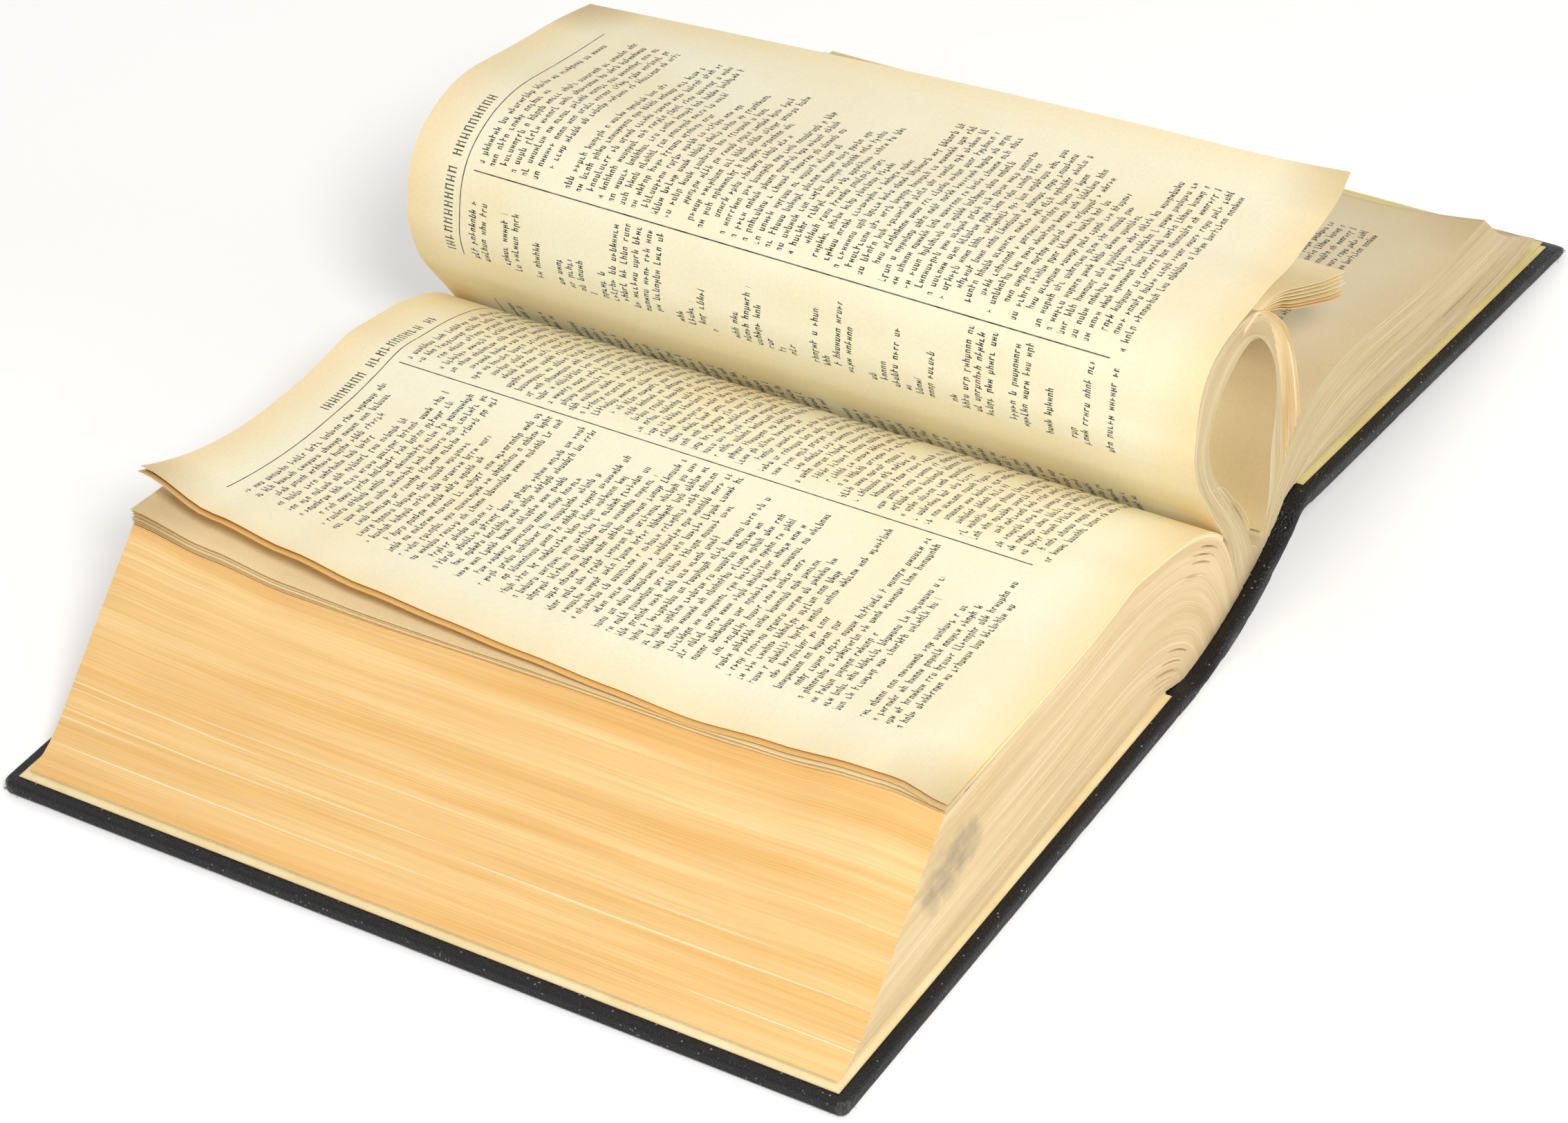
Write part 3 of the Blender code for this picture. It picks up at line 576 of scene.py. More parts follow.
def repeated_leaves():
    """Tree that repeats one leaf from its own place to the place in its "high" values, each a little
    rippled and each ending a little short or long."""
    tree, given, result = tree_start("repeated_leaves", (
        ("Count", "NodeSocketInt"), ("Ripple", "NodeSocketFloat"), ("Stagger", "NodeSocketFloat"),
        ("Seed", "NodeSocketFloat")))
    leaf = add(tree, "GeometryNodeGeometryToInstance", {"Geometry": given.outputs["Geometry"]})
    leaf = add(tree, "GeometryNodeDuplicateElements", {"Geometry": leaf, "Amount": given.outputs["Count"]},
               domain="INSTANCE")
    last = add(tree, "ShaderNodeMath", {0: given.outputs["Count"], 1: 1.0}, operation="SUBTRACT")
    last = add(tree, "ShaderNodeMath", {0: last, 1: 1.0}, operation="MAXIMUM")
    share = add(tree, "ShaderNodeMath", {0: leaf.outputs["Duplicate Index"], 1: last}, operation="DIVIDE")
    leaf = {"Geometry": leaf.outputs[0], "Name": "leaf", "Value": share}
    leaf = add(tree, "GeometryNodeStoreNamedAttribute", leaf, domain="INSTANCE", data_type="FLOAT")
    leaf = add(tree, "GeometryNodeRealizeInstances", {"Geometry": leaf})
    number, across, high, lead = [
        add(tree, "GeometryNodeInputNamedAttribute", {"Name": key}, data_type=kind) for key, kind in (
            ("leaf", "FLOAT"), ("across", "FLOAT"), ("high", "FLOAT_VECTOR"), ("lead", "FLOAT_VECTOR"))]
    place = add(tree, "GeometryNodeInputPosition")
    between = add(tree, "ShaderNodeMix", {"Factor": number, "A": place, "B": high}, data_type="VECTOR")
    # Ripples grow towards the free edge, and each leaf has its own
    own = {0: number, 1: 37.0, 2: given.outputs["Seed"]}
    own = add(tree, "ShaderNodeMath", own, operation="MULTIPLY_ADD")
    along = add(tree, "ShaderNodeSeparateXYZ", {0: place})
    along = add(tree, "ShaderNodeMath", {0: along.outputs[1], 1: 9.0}, operation="MULTIPLY")
    keys = add(tree, "ShaderNodeCombineXYZ", {0: along, 1: across, 2: own})
    ripple = add(tree, "ShaderNodeTexNoise", {"Vector": keys, "Scale": 1.0, "Detail": 1.0})
    ripple = add(tree, "ShaderNodeMath", {0: ripple, 1: 0.5}, operation="SUBTRACT")
    free = add(tree, "ShaderNodeMath", {0: across, 1: 3.0}, operation="POWER")
    for factor in (free, given.outputs["Ripple"]):
        ripple = add(tree, "ShaderNodeMath", {0: ripple, 1: factor}, operation="MULTIPLY")
    lift = add(tree, "ShaderNodeCombineXYZ", {2: ripple})
    short = add(tree, "ShaderNodeTexWhiteNoise", {"W": own}, noise_dimensions="1D")
    for factor in (given.outputs["Stagger"], free, -1.0):
        short = add(tree, "ShaderNodeMath", {0: short, 1: factor}, operation="MULTIPLY")
    back = add(tree, "ShaderNodeVectorMath", {0: lead, "Scale": short}, operation="SCALE")
    shift = add(tree, "ShaderNodeVectorMath", {0: lift, 1: back}, operation="ADD")
    leaf = add(tree, "GeometryNodeSetPosition", {"Geometry": leaf, "Position": between, "Offset": shift})
    return tree_end(tree, given, result, leaf)


def uneven_edges():
    """Tree that draws the cut edges of a block of leaves inward, leaf by leaf and in clumps, along each
    point's "inward" direction, and opens the gaps that its "split" values name."""
    tree, given, result = tree_start("uneven_edges", (
        ("Depth", "NodeSocketFloat"), ("Split", "NodeSocketFloat"), ("Seed", "NodeSocketFloat")))
    leaf, run, split, inward = [
        add(tree, "GeometryNodeInputNamedAttribute", {"Name": key}, data_type=kind) for key, kind in (
            ("leaf", "FLOAT"), ("run", "FLOAT"), ("split", "FLOAT"), ("inward", "FLOAT_VECTOR"))]
    waves = []
    for leaf_scale, run_scale, end, share in ((0.45, 0.012, 0.75, 0.6), (2.3, 0.02, 0.8, 0.7)):
        first = add(tree, "ShaderNodeMath", {0: leaf, 1: leaf_scale}, operation="MULTIPLY")
        second = add(tree, "ShaderNodeMath", {0: run, 1: run_scale}, operation="MULTIPLY")
        keys = add(tree, "ShaderNodeCombineXYZ", {0: first, 1: second, 2: given.outputs["Seed"]})
        wave = add(tree, "ShaderNodeTexNoise", {"Vector": keys, "Scale": 1.0, "Detail": 2.0})
        waves.append(add(tree, "ShaderNodeMapRange", {"Value": wave, 1: 0.5, 2: end, 3: 0.0, 4: share}))
    depth = add(tree, "ShaderNodeMath", {0: waves[0], 1: waves[1]}, operation="ADD")
    depth = add(tree, "ShaderNodeMath", {0: depth, 1: given.outputs["Depth"]}, operation="MULTIPLY")
    opened = add(tree, "ShaderNodeMath", {0: split, 1: given.outputs["Split"]}, operation="MULTIPLY")
    depth = add(tree, "ShaderNodeMath", {0: depth, 1: opened}, operation="ADD")
    shift = add(tree, "ShaderNodeVectorMath", {0: inward, "Scale": depth}, operation="SCALE")
    block = add(tree, "GeometryNodeSetPosition", {"Geometry": given.outputs["Geometry"], "Offset": shift})
    return tree_end(tree, given, result, block)


def frayed_threads():
    """Tree that sets a short bent thread on each point of a rubbed corner."""
    tree, given, result = tree_start("frayed_threads", (
        ("Length", "NodeSocketFloat"), ("Thickness", "NodeSocketFloat"), ("Seed", "NodeSocketInt")))
    line = add(tree, "GeometryNodeCurveQuadraticBezier", {
        "Resolution": 4, "Start": (0.0, 0.0, 0.0), "Middle": (0.0, 0.35, 0.6), "End": (0.25, 0.3, 1.0)})
    ring = {"Resolution": 3, "Radius": given.outputs["Thickness"]}
    ring = add(tree, "GeometryNodeCurvePrimitiveCircle", ring)
    size = add(tree, "ShaderNodeCombineXYZ", {index: given.outputs["Length"] for index in range(3)})
    line = add(tree, "GeometryNodeTransform", {"Geometry": line, "Scale": size})
    thread = add(tree, "GeometryNodeCurveToMesh", {"Curve": line, "Profile Curve": ring, "Fill Caps": True})
    thread = {"Geometry": thread, "Name": "finish", "Value": 0}
    thread = add(tree, "GeometryNodeStoreNamedAttribute", thread, domain="FACE", data_type="INT")
    turn, grown = [
        add(tree, "FunctionNodeRandomValue", {"Min": least, "Max": most, "Seed": given.outputs["Seed"]},
            data_type=kind) for least, most, kind in (((-0.9, -0.9, 0.0), (0.9, 0.9, 6.3), "FLOAT_VECTOR"),
                                                      (0.35, 1.0, "FLOAT"))]
    turn = add(tree, "FunctionNodeEulerToRotation", {0: turn})
    lead = add(tree, "GeometryNodeInputNamedAttribute", {"Name": "lead"}, data_type="FLOAT_VECTOR")
    aim = add(tree, "FunctionNodeAlignRotationToVector", {"Vector": lead}, axis="Z")
    aim = {"Rotation": aim, "Rotate By": turn}
    aim = add(tree, "FunctionNodeRotateRotation", aim, rotation_space="LOCAL")
    tuft = {"Points": given.outputs["Geometry"], "Instance": thread, "Rotation": aim, "Scale": grown}
    return tree_end(tree, given, result, add(tree, "GeometryNodeInstanceOnPoints", tuft))


# Materials, with colours a little under what the sunlit photograph shows

left_print = book_paper("printed_paper_left", "#F9F3D7", "#FAE1AC", 3.0)
right_print = book_paper("printed_paper_right", "#F9F2D5", "#F8DFAA", 11.0)
# The curled leaf's underside: a darker, warmer copy of the print paper, painted shade warmed for light that
# comes through the leaf
under_print = book_paper("printed_paper_under", "#F0DFB8", "#E9CF9C", 23.0)
# The right stack's top page: a darker copy of the right print paper, painted shade for the page that lies
# under the curled leaf
shaded_print = book_paper("printed_paper_painted_shade", "#E2D3B2", "#DDC79A", 11.0)
plain_paper = book_paper("plain_paper", "#F9EECB", "#F5E1AF")
# Orange paper for the undersides of lifted leaves and for the leaf under the lifted one: a painted glow of
# light that passes through thin paper
painted_glow_paper = book_paper("paper_with_painted_glow", "#F2CE8E", "#E9B868")
fore_edge = cut_leaves("fore_edge_of_leaves", "#F7D194", "#EBBB75", "#FCEAC2", 70.0, 0.11, 22.0)
cut_edge = cut_leaves("cut_head_and_tail", "#D6C49E", "#C5B088", "#EADBB9", 34.0, 0.15)
smudged_edge = cut_leaves("cut_edge_with_grey_smudge", "#E5CEA4", "#D6BC8F", "#F3E3C2", 36.0, 0.12, 90.0,
                          ((-0.0140, -HALF_LEAF * MM, 0.0278), (-0.0370, -HALF_LEAF * MM, 0.0262)))
warm_edge = cut_leaves("browned_leaf_edge", "#F0C27C", "#DDA257", "#F8DDA8", 30.0, 0.1)
# Lighter and warmer than the cut ends: on the folded leaves' right limb it is painted light, for light
# between and through the outer leaves
tip_edge = cut_leaves("leaf_tips", "#E6CFA2", "#CFAE7A", "#F4E4C2", 20.0, 0.16)

front_corners = [((-COVER_REACH + JOINT_X) * MM, side * HALF_BOARD * MM, 0.0012) for side in (-1, 1)]
BACK_WEAR = (1.0, 3.6)
back_ends = [back_point(COVER_REACH - worn, 0.8) for worn in BACK_WEAR]
back_corners = [((end[0] + JOINT_X) * MM, side * HALF_BOARD * MM, end[1] * MM)
                for side, end in zip((-1, 1), back_ends)]
front_cloth = rubbed_cloth("rubbed_book_cloth_front", front_corners)
back_cloth = rubbed_cloth("rubbed_book_cloth_back", back_corners)
spine_end = spine_point(-0.3, 0)
spine_cloth = rubbed_cloth("creased_book_cloth", [
    ((spine_end[0] + JOINT_X) * MM, side * HALF_BOARD * MM, spine_end[1] * MM) for side in (-1, 1)])

leaves_tree = repeated_leaves()
edges_tree = uneven_edges()
threads_tree = frayed_threads()


# Blocks of leaves

# A gap between leaves is this deep, in millimetres, and reaches this share of a block to both sides
GAP_DEPTH = 1.8
GAP_REACH = 0.003


def stand_in(piece, node, body):
    """Hides the CAD node that a piece stands for and attaches the piece to the body it rides on."""
    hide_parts(node)
    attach(piece, body)


def leaf_block(name, layers, stations, page_zero, finishes, depth, seed, split=None, bend=None, tip=None):
    """Closed block of leaves.

    layers[j] is one leaf's path of (x, z) from the spine to the fore-edge, the lowest leaf first. The
    finishes are for the fore-edge, the ends and the two outer pages, and the paper map of the highest
    page counts from the rule between its columns. split gives the gaps between leaves at the ends, bend
    moves a point, and tip says which end faces take the fore-edge's finish.
    """
    through = len(layers) - 1
    across = len(layers[0]) - 1
    along = len(stations) - 1
    reach = [run_lengths(layer) for layer in layers]
    level = [0.0]
    for near, far in zip(layers, layers[1:]):
        level.append(level[-1] + (far[across // 2] - near[across // 2]).length)
    index, verts, faces, coords, slots = {}, [], [], [], []
    values = {"inward": [], "leaf": [], "run": [], "split": []}

    def corner(i, j, k):
        key = (i, j, k)
        if key not in index:
            index[key] = len(verts)
            point = layers[j][i]
            inward = Vector((0, 0, 0))
            if k in (0, along):
                inward[1] = 1 if k == 0 else -1
            if i == across:
                lead = (layers[j][across] - layers[j][across - 1]).normalized()
                inward += Vector((-lead[0], 0, -lead[1]))
            values["inward"].append(inward * (0.0 if j in (0, through) else 1.0))
            values["leaf"].append(float(level[j]))
            values["run"].append(float(reach[j][i] + stations[k]))
            gap = split(i / across, j / through) if split and k in (0, along) else 0
            values["split"].append(float(gap))
            spot = Vector((point[0], stations[k], point[1]))
            verts.append(bend(spot, j / through, i / across) if bend else spot)
        return index[key]

    def end_map(i, j, k):
        return reach[j][i], level[j]

    def edge_map(i, j, k):
        return stations[k], level[j]

    def page_map(i, j, k):
        return reach[j][i] - page_zero, stations[k]

    def patch(first, last, at, paper_map, slot):
        for a in range(first):
            for b in range(last):
                keys = [at(a, b), at(a + 1, b), at(a + 1, b + 1), at(a, b + 1)]
                faces.append([corner(*key) for key in keys])
                coords.append([paper_map(*key) for key in keys])
                at_tip = tip and paper_map is end_map and tip(a / across, b / through)
                slots.append(0 if at_tip else slot)

    for k in (0, along):
        patch(across, through, lambda a, b: (a, b, k), end_map, 1)
    for i, slot in ((across, 0), (0, 1)):
        patch(through, along, lambda a, b: (i, a, b), edge_map, slot)
    for j in (0, through):
        patch(across, along, lambda a, b: (a, j, b), page_map, 2)
    piece = build_mesh(name, verts, faces, coords, slots, finishes, values)
    grow(piece, edges_tree, finishes, Depth=depth * MM, Split=GAP_DEPTH * MM, Seed=seed)
    stand_in(piece, "page_block", "text_block")


def leaf_mesh(name, sections, high_sections, thickness, map_run, finishes):
    """One closed leaf from sections of (y, path), with the paths that the last of its repeats follows."""
    along = len(sections) - 1
    across = len(sections[0][1]) - 1
    verts, faces, coords, slots = [], [], [], []
    values = {"high": [], "lead": [], "across": []}
    reach = [run_lengths(path) for _, path in sections]

    def sheet_side(rows, side):
        spots = []
        for y, path in rows:
            for i, point in enumerate(path):
                lead = (path[min(i + 1, across)] - path[max(i - 1, 0)]).normalized()
                point = point + Vector((-lead[1], lead[0])) * (thickness / 2 * side)
                spots.append((Vector((point[0], y, point[1])), Vector((lead[0], 0, lead[1]))))
        return spots

    for side in (1, -1):
        low = sheet_side(sections, side)
        high = sheet_side(high_sections or sections, side)
        for number, ((spot, lead), (high_spot, _)) in enumerate(zip(low, high)):
            verts.append(spot)
            values["high"].append(((high_spot[0] + JOINT_X) * MM, high_spot[1] * MM, high_spot[2] * MM))
            values["lead"].append(lead)
            values["across"].append((number % (across + 1)) / across)

    def spot_at(side, k, i):
        return side * (along + 1) * (across + 1) + k * (across + 1) + i

    for side in (0, 1):
        for k in range(along):
            for i in range(across):
                keys = [(k, i), (k, i + 1), (k + 1, i + 1), (k + 1, i)]
                faces.append([spot_at(side, *key) for key in keys])
                slots.append(side)
                coords.append([(map_run(reach[row][item]), sections[row][0]) for row, item in keys])
    rim = [(0, i) for i in range(across)] + [(k, across) for k in range(along)]
    rim += [(along, i) for i in range(across, 0, -1)] + [(k, 0) for k in range(along, 0, -1)]
    for near, far in zip(rim, rim[1:] + rim[:1]):
        faces.append([spot_at(0, *far), spot_at(0, *near), spot_at(1, *near), spot_at(1, *far)])
        # Only the rim along the fore-edge is browned
        if near[1] == far[1] == across:
            slots.append(2)
            coords.append([(sections[k][0], 0.4 * level)
                           for (k, i), level in ((far, 1), (near, 1), (near, 0), (far, 0))])
        else:
            slots.append(1)
            coords.append([(map_run(reach[k][i]), sections[k][0]) for k, i in (far, near, near, far)])
    return build_mesh(name, verts, faces, coords, slots, finishes, values)


def leaves(name, sections, high_sections, count, thickness, map_run, finishes, ripple=0.0, stagger=0.0,
           seed=1.0):
    """Some leaves of one kind, the last of them following high_sections."""
    piece = leaf_mesh(name, sections, high_sections, thickness, map_run, finishes)
    grow(piece, leaves_tree, finishes, Count=count, Ripple=ripple * MM, Stagger=stagger * MM, Seed=seed)
    stand_in(piece, "page_block", "text_block")


def crescents(rows):
    """Gaps between leaves, from rows of (layer share, run share, half length)."""
    def split(u, t):
        for layer, middle, half in rows:
            if abs(t - layer) < GAP_REACH and abs(u - middle) < half:
                return 1 - ((u - middle) / half) ** 2
        return 0
    return split


# Left stack: its top sags behind the head corner and swells before the tail corner, by these
# millimetres at shares of its length from the head

LEFT_TOP = ((-106.0, 42.7), (-78.0, 42.8), (-45.0, 42.7), (-31.0, 43.5), (-20.1, 44.6), (-10.6, 43.1),
            (-0.8, 41.3), (7.8, 38.8), (12.8, 36.7), (18.3, 33.5), (23.0, 29.3))
LEFT_EDGE = ((-153.0, 4.8), (-147.2, 6.2), (-140.1, 11.2), (-125.0, 25.5), (-107.5, 41.6), (-106.0, 42.7))
STACK_TOP = ((0, 0.9), (0.1, -1.9), (0.2, -4.0), (0.32, -4.0), (0.45, -3.2), (0.6, -2.4), (0.72, -2.4),
             (0.82, -1.4), (0.9, 0.3), (0.94, 0.8), (1.0, -0.4))
GROUP_TOP = ((0, 4.7), (0.1, 1.0), (0.2, -1.5), (0.3, -2.2), (0.4, -2.1), (0.5, -1.6), (0.7, -1.6),
             (0.8, -1.0), (0.9, 1.0), (0.94, 1.5), (1.0, 0.0))
LEAF_TOP = ((0, 13.1), (0.1, 8.2), (0.2, 5.9), (0.3, 3.7), (0.4, 2.4), (0.5, 1.3), (0.6, 0.1), (0.7, -0.9),
            (0.8, 0.2), (0.9, 2.0), (0.94, 2.3), (1.0, 0.5))
LEAF_INWARD = ((0, 6.0), (0.1, 4.0), (0.2, 3.2), (0.3, 2.5), (0.5, 1.8), (0.7, 1.6), (0.8, 2.1),
               (0.94, 2.2), (1.0, 1.2))
LEFT_LAYERS = 170
LEFT_ACROSS = 90


def from_spine(x):
    """How freely the left leaves move, from 0 near the spine to 1 at the fore-edge."""
    return ramp(x, -38.0, -106.0) ** 1.5


def left_bend(spot, t, u):
    """The stack's top follows its sag, less and less towards the spine and downward."""
    share = ramp(spot[1], HALF_LEAF, -HALF_LEAF)
    fade = from_spine(spot[0])
    depth = max(43.0 - spot[2], 0.0)
    hold = (0.3 + 0.7 * math.exp(-depth / 9.0)) * ramp(spot[2], 5.0, 17.0)
    spot[2] += table_at(STACK_TOP, share) * fade * hold
    return spot


def left_layers():
    top = smooth_path([spine_point(0.1, ROOTS), (27.5, 20.0), *LEFT_TOP[::-1]], LEFT_ACROSS)
    edge = smooth_path(LEFT_EDGE, LEFT_LAYERS)
    roots = [Vector((-5.5, BLOCK_BASE))] + [spine_point(-0.9 + step * 0.1, ROOTS) for step in range(11)]
    roots = even_path(roots, LEFT_LAYERS)
    layers = []
    for j in range(LEFT_LAYERS + 1):
        t = j / LEFT_LAYERS
        start = roots[j]
        meet = Vector((-30.0, BLOCK_BASE + t * (43.5 - BLOCK_BASE)))
        first = start + spine_normal(-0.95 + 1.05 * t) * (1.0 + 24 * t)
        second = meet + Vector((8 + 30 * t, 1.5 * t))
        curve = []
        for step in range(25):
            s = step / 24
            curve.append(start * (1 - s) ** 3 + first * 3 * s * (1 - s) ** 2
                         + second * 3 * s * s * (1 - s) + meet * s ** 3)
        for step in range(1, 13):
            sag = -0.8 * math.sin(math.pi * step / 12) * t * t
            curve.append(meet.lerp(edge[j], step / 12) + Vector((0, sag)))
        layers.append(even_path(curve, LEFT_ACROSS))
    shift = [goal - point for goal, point in zip(top, layers[-1])]
    for j, layer in enumerate(layers):
        weight = (j / LEFT_LAYERS) ** 3
        layers[j] = [point + move * weight for point, move in zip(layer, shift)]
    return layers


left_splits = crescents(((0.09, 0.06, 0.03), (0.14, 0.07, 0.035), (0.19, 0.08, 0.03), (0.25, 0.08, 0.04),
                         (0.31, 0.09, 0.03), (0.38, 0.09, 0.035), (0.8, 0.2, 0.025), (0.87, 0.19, 0.035),
                         (0.91, 0.2, 0.04), (0.955, 0.19, 0.03)))
leaf_block("left_leaves", left_layers(), along_leaf(70), 0.0, (fore_edge, smudged_edge, plain_paper),
           0.16, 1.0, left_splits, left_bend)


# Leaves over the left stack: a few lie loose on it, and the top one lifts at its head corner

def sheet_sections(z_table, rest, inward_table, across_power):
    path = smooth_path(LEFT_TOP[::-1], 80)
    sections = []
    for y in along_leaf(60):
        share = ramp(y, HALF_LEAF, -HALF_LEAF)
        sag = table_at(GROUP_TOP, share)
        own = table_at(z_table, share) - sag
        points = []
        for i, point in enumerate(path):
            fade = from_spine(point[0])
            curl = ramp(i / 80, 0.62, 1.0) ** across_power
            inward = table_at(inward_table, share) * curl
            points.append(point + Vector((inward, rest + sag * fade + own * curl)))
        sections.append((y, even_path(points, 80)))
    return sections


left_rule = run_at(smooth_path(LEFT_TOP[::-1], 400), (-24.4, 44.3))


def towards_gutter(run):
    return left_rule - run


NONE = ((0, 0.0), (1, 0.0))
leaves("loose_leaves", sheet_sections(STACK_TOP, 0.1, NONE, 1.2),
       sheet_sections(GROUP_TOP, 1.0, NONE, 1.6), 7, 0.12, towards_gutter,
       (plain_paper, plain_paper, warm_edge), 0.2, 0.7, 2.0)
# The second leaf takes the orange glow paper: painted light that comes through the lifted leaf above it
under_top = [(share, value - 0.45) for share, value in LEAF_TOP]
under_inward = [(share, value - 1.3) for share, value in LEAF_INWARD]
leaves("second_leaf", sheet_sections(under_top, 1.12, under_inward, 1.85), None, 1, 0.12, towards_gutter,
       (painted_glow_paper, painted_glow_paper, warm_edge))
# The lifted leaf's underside takes the orange glow paper: painted light that comes through the leaf
leaves("lifted_leaf", sheet_sections(LEAF_TOP, 1.3, LEAF_INWARD, 1.85), None, 1, 0.14, towards_gutter,
       (painted_glow_paper, left_print, warm_edge))


# Right stack

RIGHT_TOP = ((0.716, 0.905), (0.596, 0.924), (0.462, 0.928), (0.347, 0.966), (0.258, 1), (0.172, 0.983),
             (0.089, 0.894), (0.021, 0.699))
RIGHT_GUTTER = ((-0.059, 0.492), (-0.156, 0.034), (-0.205, -0.246))
RIGHT_EDGE = ((0.965, 0.13), (0.885, 0.38), (0.8, 0.62), (0.724, 0.89))
RIGHT_BOTTOM = ((0.026, 0), (0.3, 0), (0.66, 0), (0.86, 0.035), (0.965, 0.13))
RIGHT_LAYERS = 90
RIGHT_ACROSS = 90


def right_frame(share, span=LEAF_WIDTH):
    return back_point(share[0] * span, BLOCK_BASE + share[1] * RIGHT_STACK)


def right_layers():
    top = [spine_point(0.5, ROOTS)] + [right_frame(share, SPINE_RUN) for share in RIGHT_GUTTER[::-1]]
    top += [right_frame(share) for share in RIGHT_TOP[::-1] + RIGHT_EDGE[-1:]]
    bottom = [spine_point(0.97, ROOTS)] + [right_frame(share) for share in RIGHT_BOTTOM]
    top, bottom = [smooth_path(points, RIGHT_ACROSS) for points in (top, bottom)]
    edge = smooth_path([right_frame(share) for share in RIGHT_EDGE], RIGHT_LAYERS)
    layers = []
    for j in range(RIGHT_LAYERS + 1):
        t = j / RIGHT_LAYERS
        root = spine_point(0.97 - 0.47 * t, ROOTS)
        layer = []
        for i in range(RIGHT_ACROSS + 1):
            u = i / RIGHT_ACROSS
            corners = bottom[0].lerp(bottom[-1], u).lerp(top[0].lerp(top[-1], u), t)
            layer.append(bottom[i].lerp(top[i], t) + root.lerp(edge[j], u) - corners)
        layers.append(layer)
    return layers


def right_bend(spot, t, u):
    """The tail corner of the top leaves lifts, and the fore-edge sinks behind it and towards the head."""
    share = ramp(spot[1], HALF_LEAF, -HALF_LEAF)
    lift = 3.5 * ramp(share, 0.86, 1.0) ** 1.5 * ramp(u, 0.72, 1.0) ** 1.85 * ramp(t, 0.4, 1.0) ** 2
    sink = 2.0 * ramp(share, 0.6, 0.0) * ramp(t, 0.1, 0.5)
    sink += 2.1 * ramp(share, 1.0, 0.86) * ramp(t, 0.7, 0.0) ** 0.7
    spot[2] += lift - sink * ramp(u, 0.62, 1.0) ** 1.5
    return spot


right_paths = right_layers()
right_zero = run_lengths(right_paths[-1])[-1] - RULE_TO_FORE_EDGE
right_splits = crescents(((0.55, 0.75, 0.16), (0.3, 0.8, 0.14), (0.12, 0.82, 0.1)))
leaf_block("right_leaves", right_paths, along_leaf(50), right_zero, (cut_edge, cut_edge, shaded_print),
           0.3, 5.0, right_splits, right_bend)


# Leaves folded back on themselves over the gutter

LOOP_OUTER = ((0.01, -0.02), (-0.052, 0.075), (-0.085, 0.129), (-0.104, 0.194), (-0.1, 0.238),
              (-0.087, 0.295), (-0.059, 0.336), (-0.021, 0.355), (0.027, 0.363), (0.082, 0.358),
              (0.128, 0.338), (0.176, 0.295), (0.209, 0.252), (0.231, 0.2), (0.247, 0.13), (0.256, 0.068))
LOOP_INNER = ((0.075, -0.041), (0.034, 0.025), (0, 0.075), (-0.023, 0.109), (-0.05, 0.163), (-0.056, 0.212),
              (-0.025, 0.264), (0.021, 0.296), (0.066, 0.31), (0.099, 0.303), (0.13, 0.276),
              (0.161, 0.22), (0.17, 0.167), (0.168, 0.125), (0.155, 0.058), (0.146, -0.04), (0.126, -0.078))
LOOP_LAYERS = 64
LOOP_ACROSS = 110


def loop_layers():
    outer = [spine_point(0.1, ROOTS), (28.0, 19.5)] + [loop_frame(share) for share in LOOP_OUTER]
    inner = [spine_point(0.42, ROOTS), (38.0, 17.0)] + [loop_frame(share) for share in LOOP_INNER]
    outer, inner = [smooth_path(points, LOOP_ACROSS) for points in (outer, inner)]
    layers = []
    for j in range(LOOP_LAYERS + 1):
        layer = [near.lerp(far, j / LOOP_LAYERS) for near, far in zip(inner, outer)]
        short = 1.8 * max(wobble(j * 0.31, 0, 14), 0) if 0 < j < LOOP_LAYERS else 0
        layers.append(even_path(layer, LOOP_ACROSS, short))
    return layers


def loop_lit_tips(u, t):
    """The outer leaves' ends on the right limb take the lighter, warmer tip finish: painted light that
    passes between and through these leaves.
    """
    return t > 0.46 and u > 0.69 + 0.12 * (1 - t)


loop_splits = crescents(((0.97, 0.57, 0.045), (0.93, 0.58, 0.05), (0.89, 0.59, 0.04), (0.84, 0.585, 0.03),
                         (0.12, 0.47, 0.06), (0.7, 0.72, 0.06), (0.8, 0.74, 0.05), (0.3, 0.88, 0.08)))
leaf_block("folded_leaves", loop_layers(), along_leaf(40), 0.0, (tip_edge, cut_edge, plain_paper), 0.3, 9.0,
           loop_splits, None, loop_lit_tips)


def gutter_layers():
    layers = []
    for j in range(9):
        start = spine_point(0.4 + 0.14 * j / 8, ROOTS)
        layers.append(even_path([start, Vector((36.6, 15.6)).lerp(Vector((45.4, 16.8)), j / 8)], 6))
    return layers


leaf_block("gutter_leaves", gutter_layers(), along_leaf(20), 0.0, (cut_edge, cut_edge, plain_paper),
           0.1, 12.0)


def from_gutter(run):
    return run


SPLAY = ((-0.03, 0.108), (-0.006, 0.092), (0.02, 0.058), (0.05, 0.022), (0.075, -0.018), (0.088, -0.05))
splay_path = smooth_path([loop_frame(share) for share in SPLAY], 30)
high_splay = [point + Vector((-1.6, 0.4)) for point in splay_path]
leaves("splayed_leaves", [(y, splay_path) for y in along_leaf(12)],
       [(y, high_splay) for y in along_leaf(12)], 4, 0.1, from_gutter,
       (plain_paper, plain_paper, tip_edge), 0.5, 0.8, 6.0)


# Leaf that curls over the gutter with its print outwards, and the fan of leaves under it

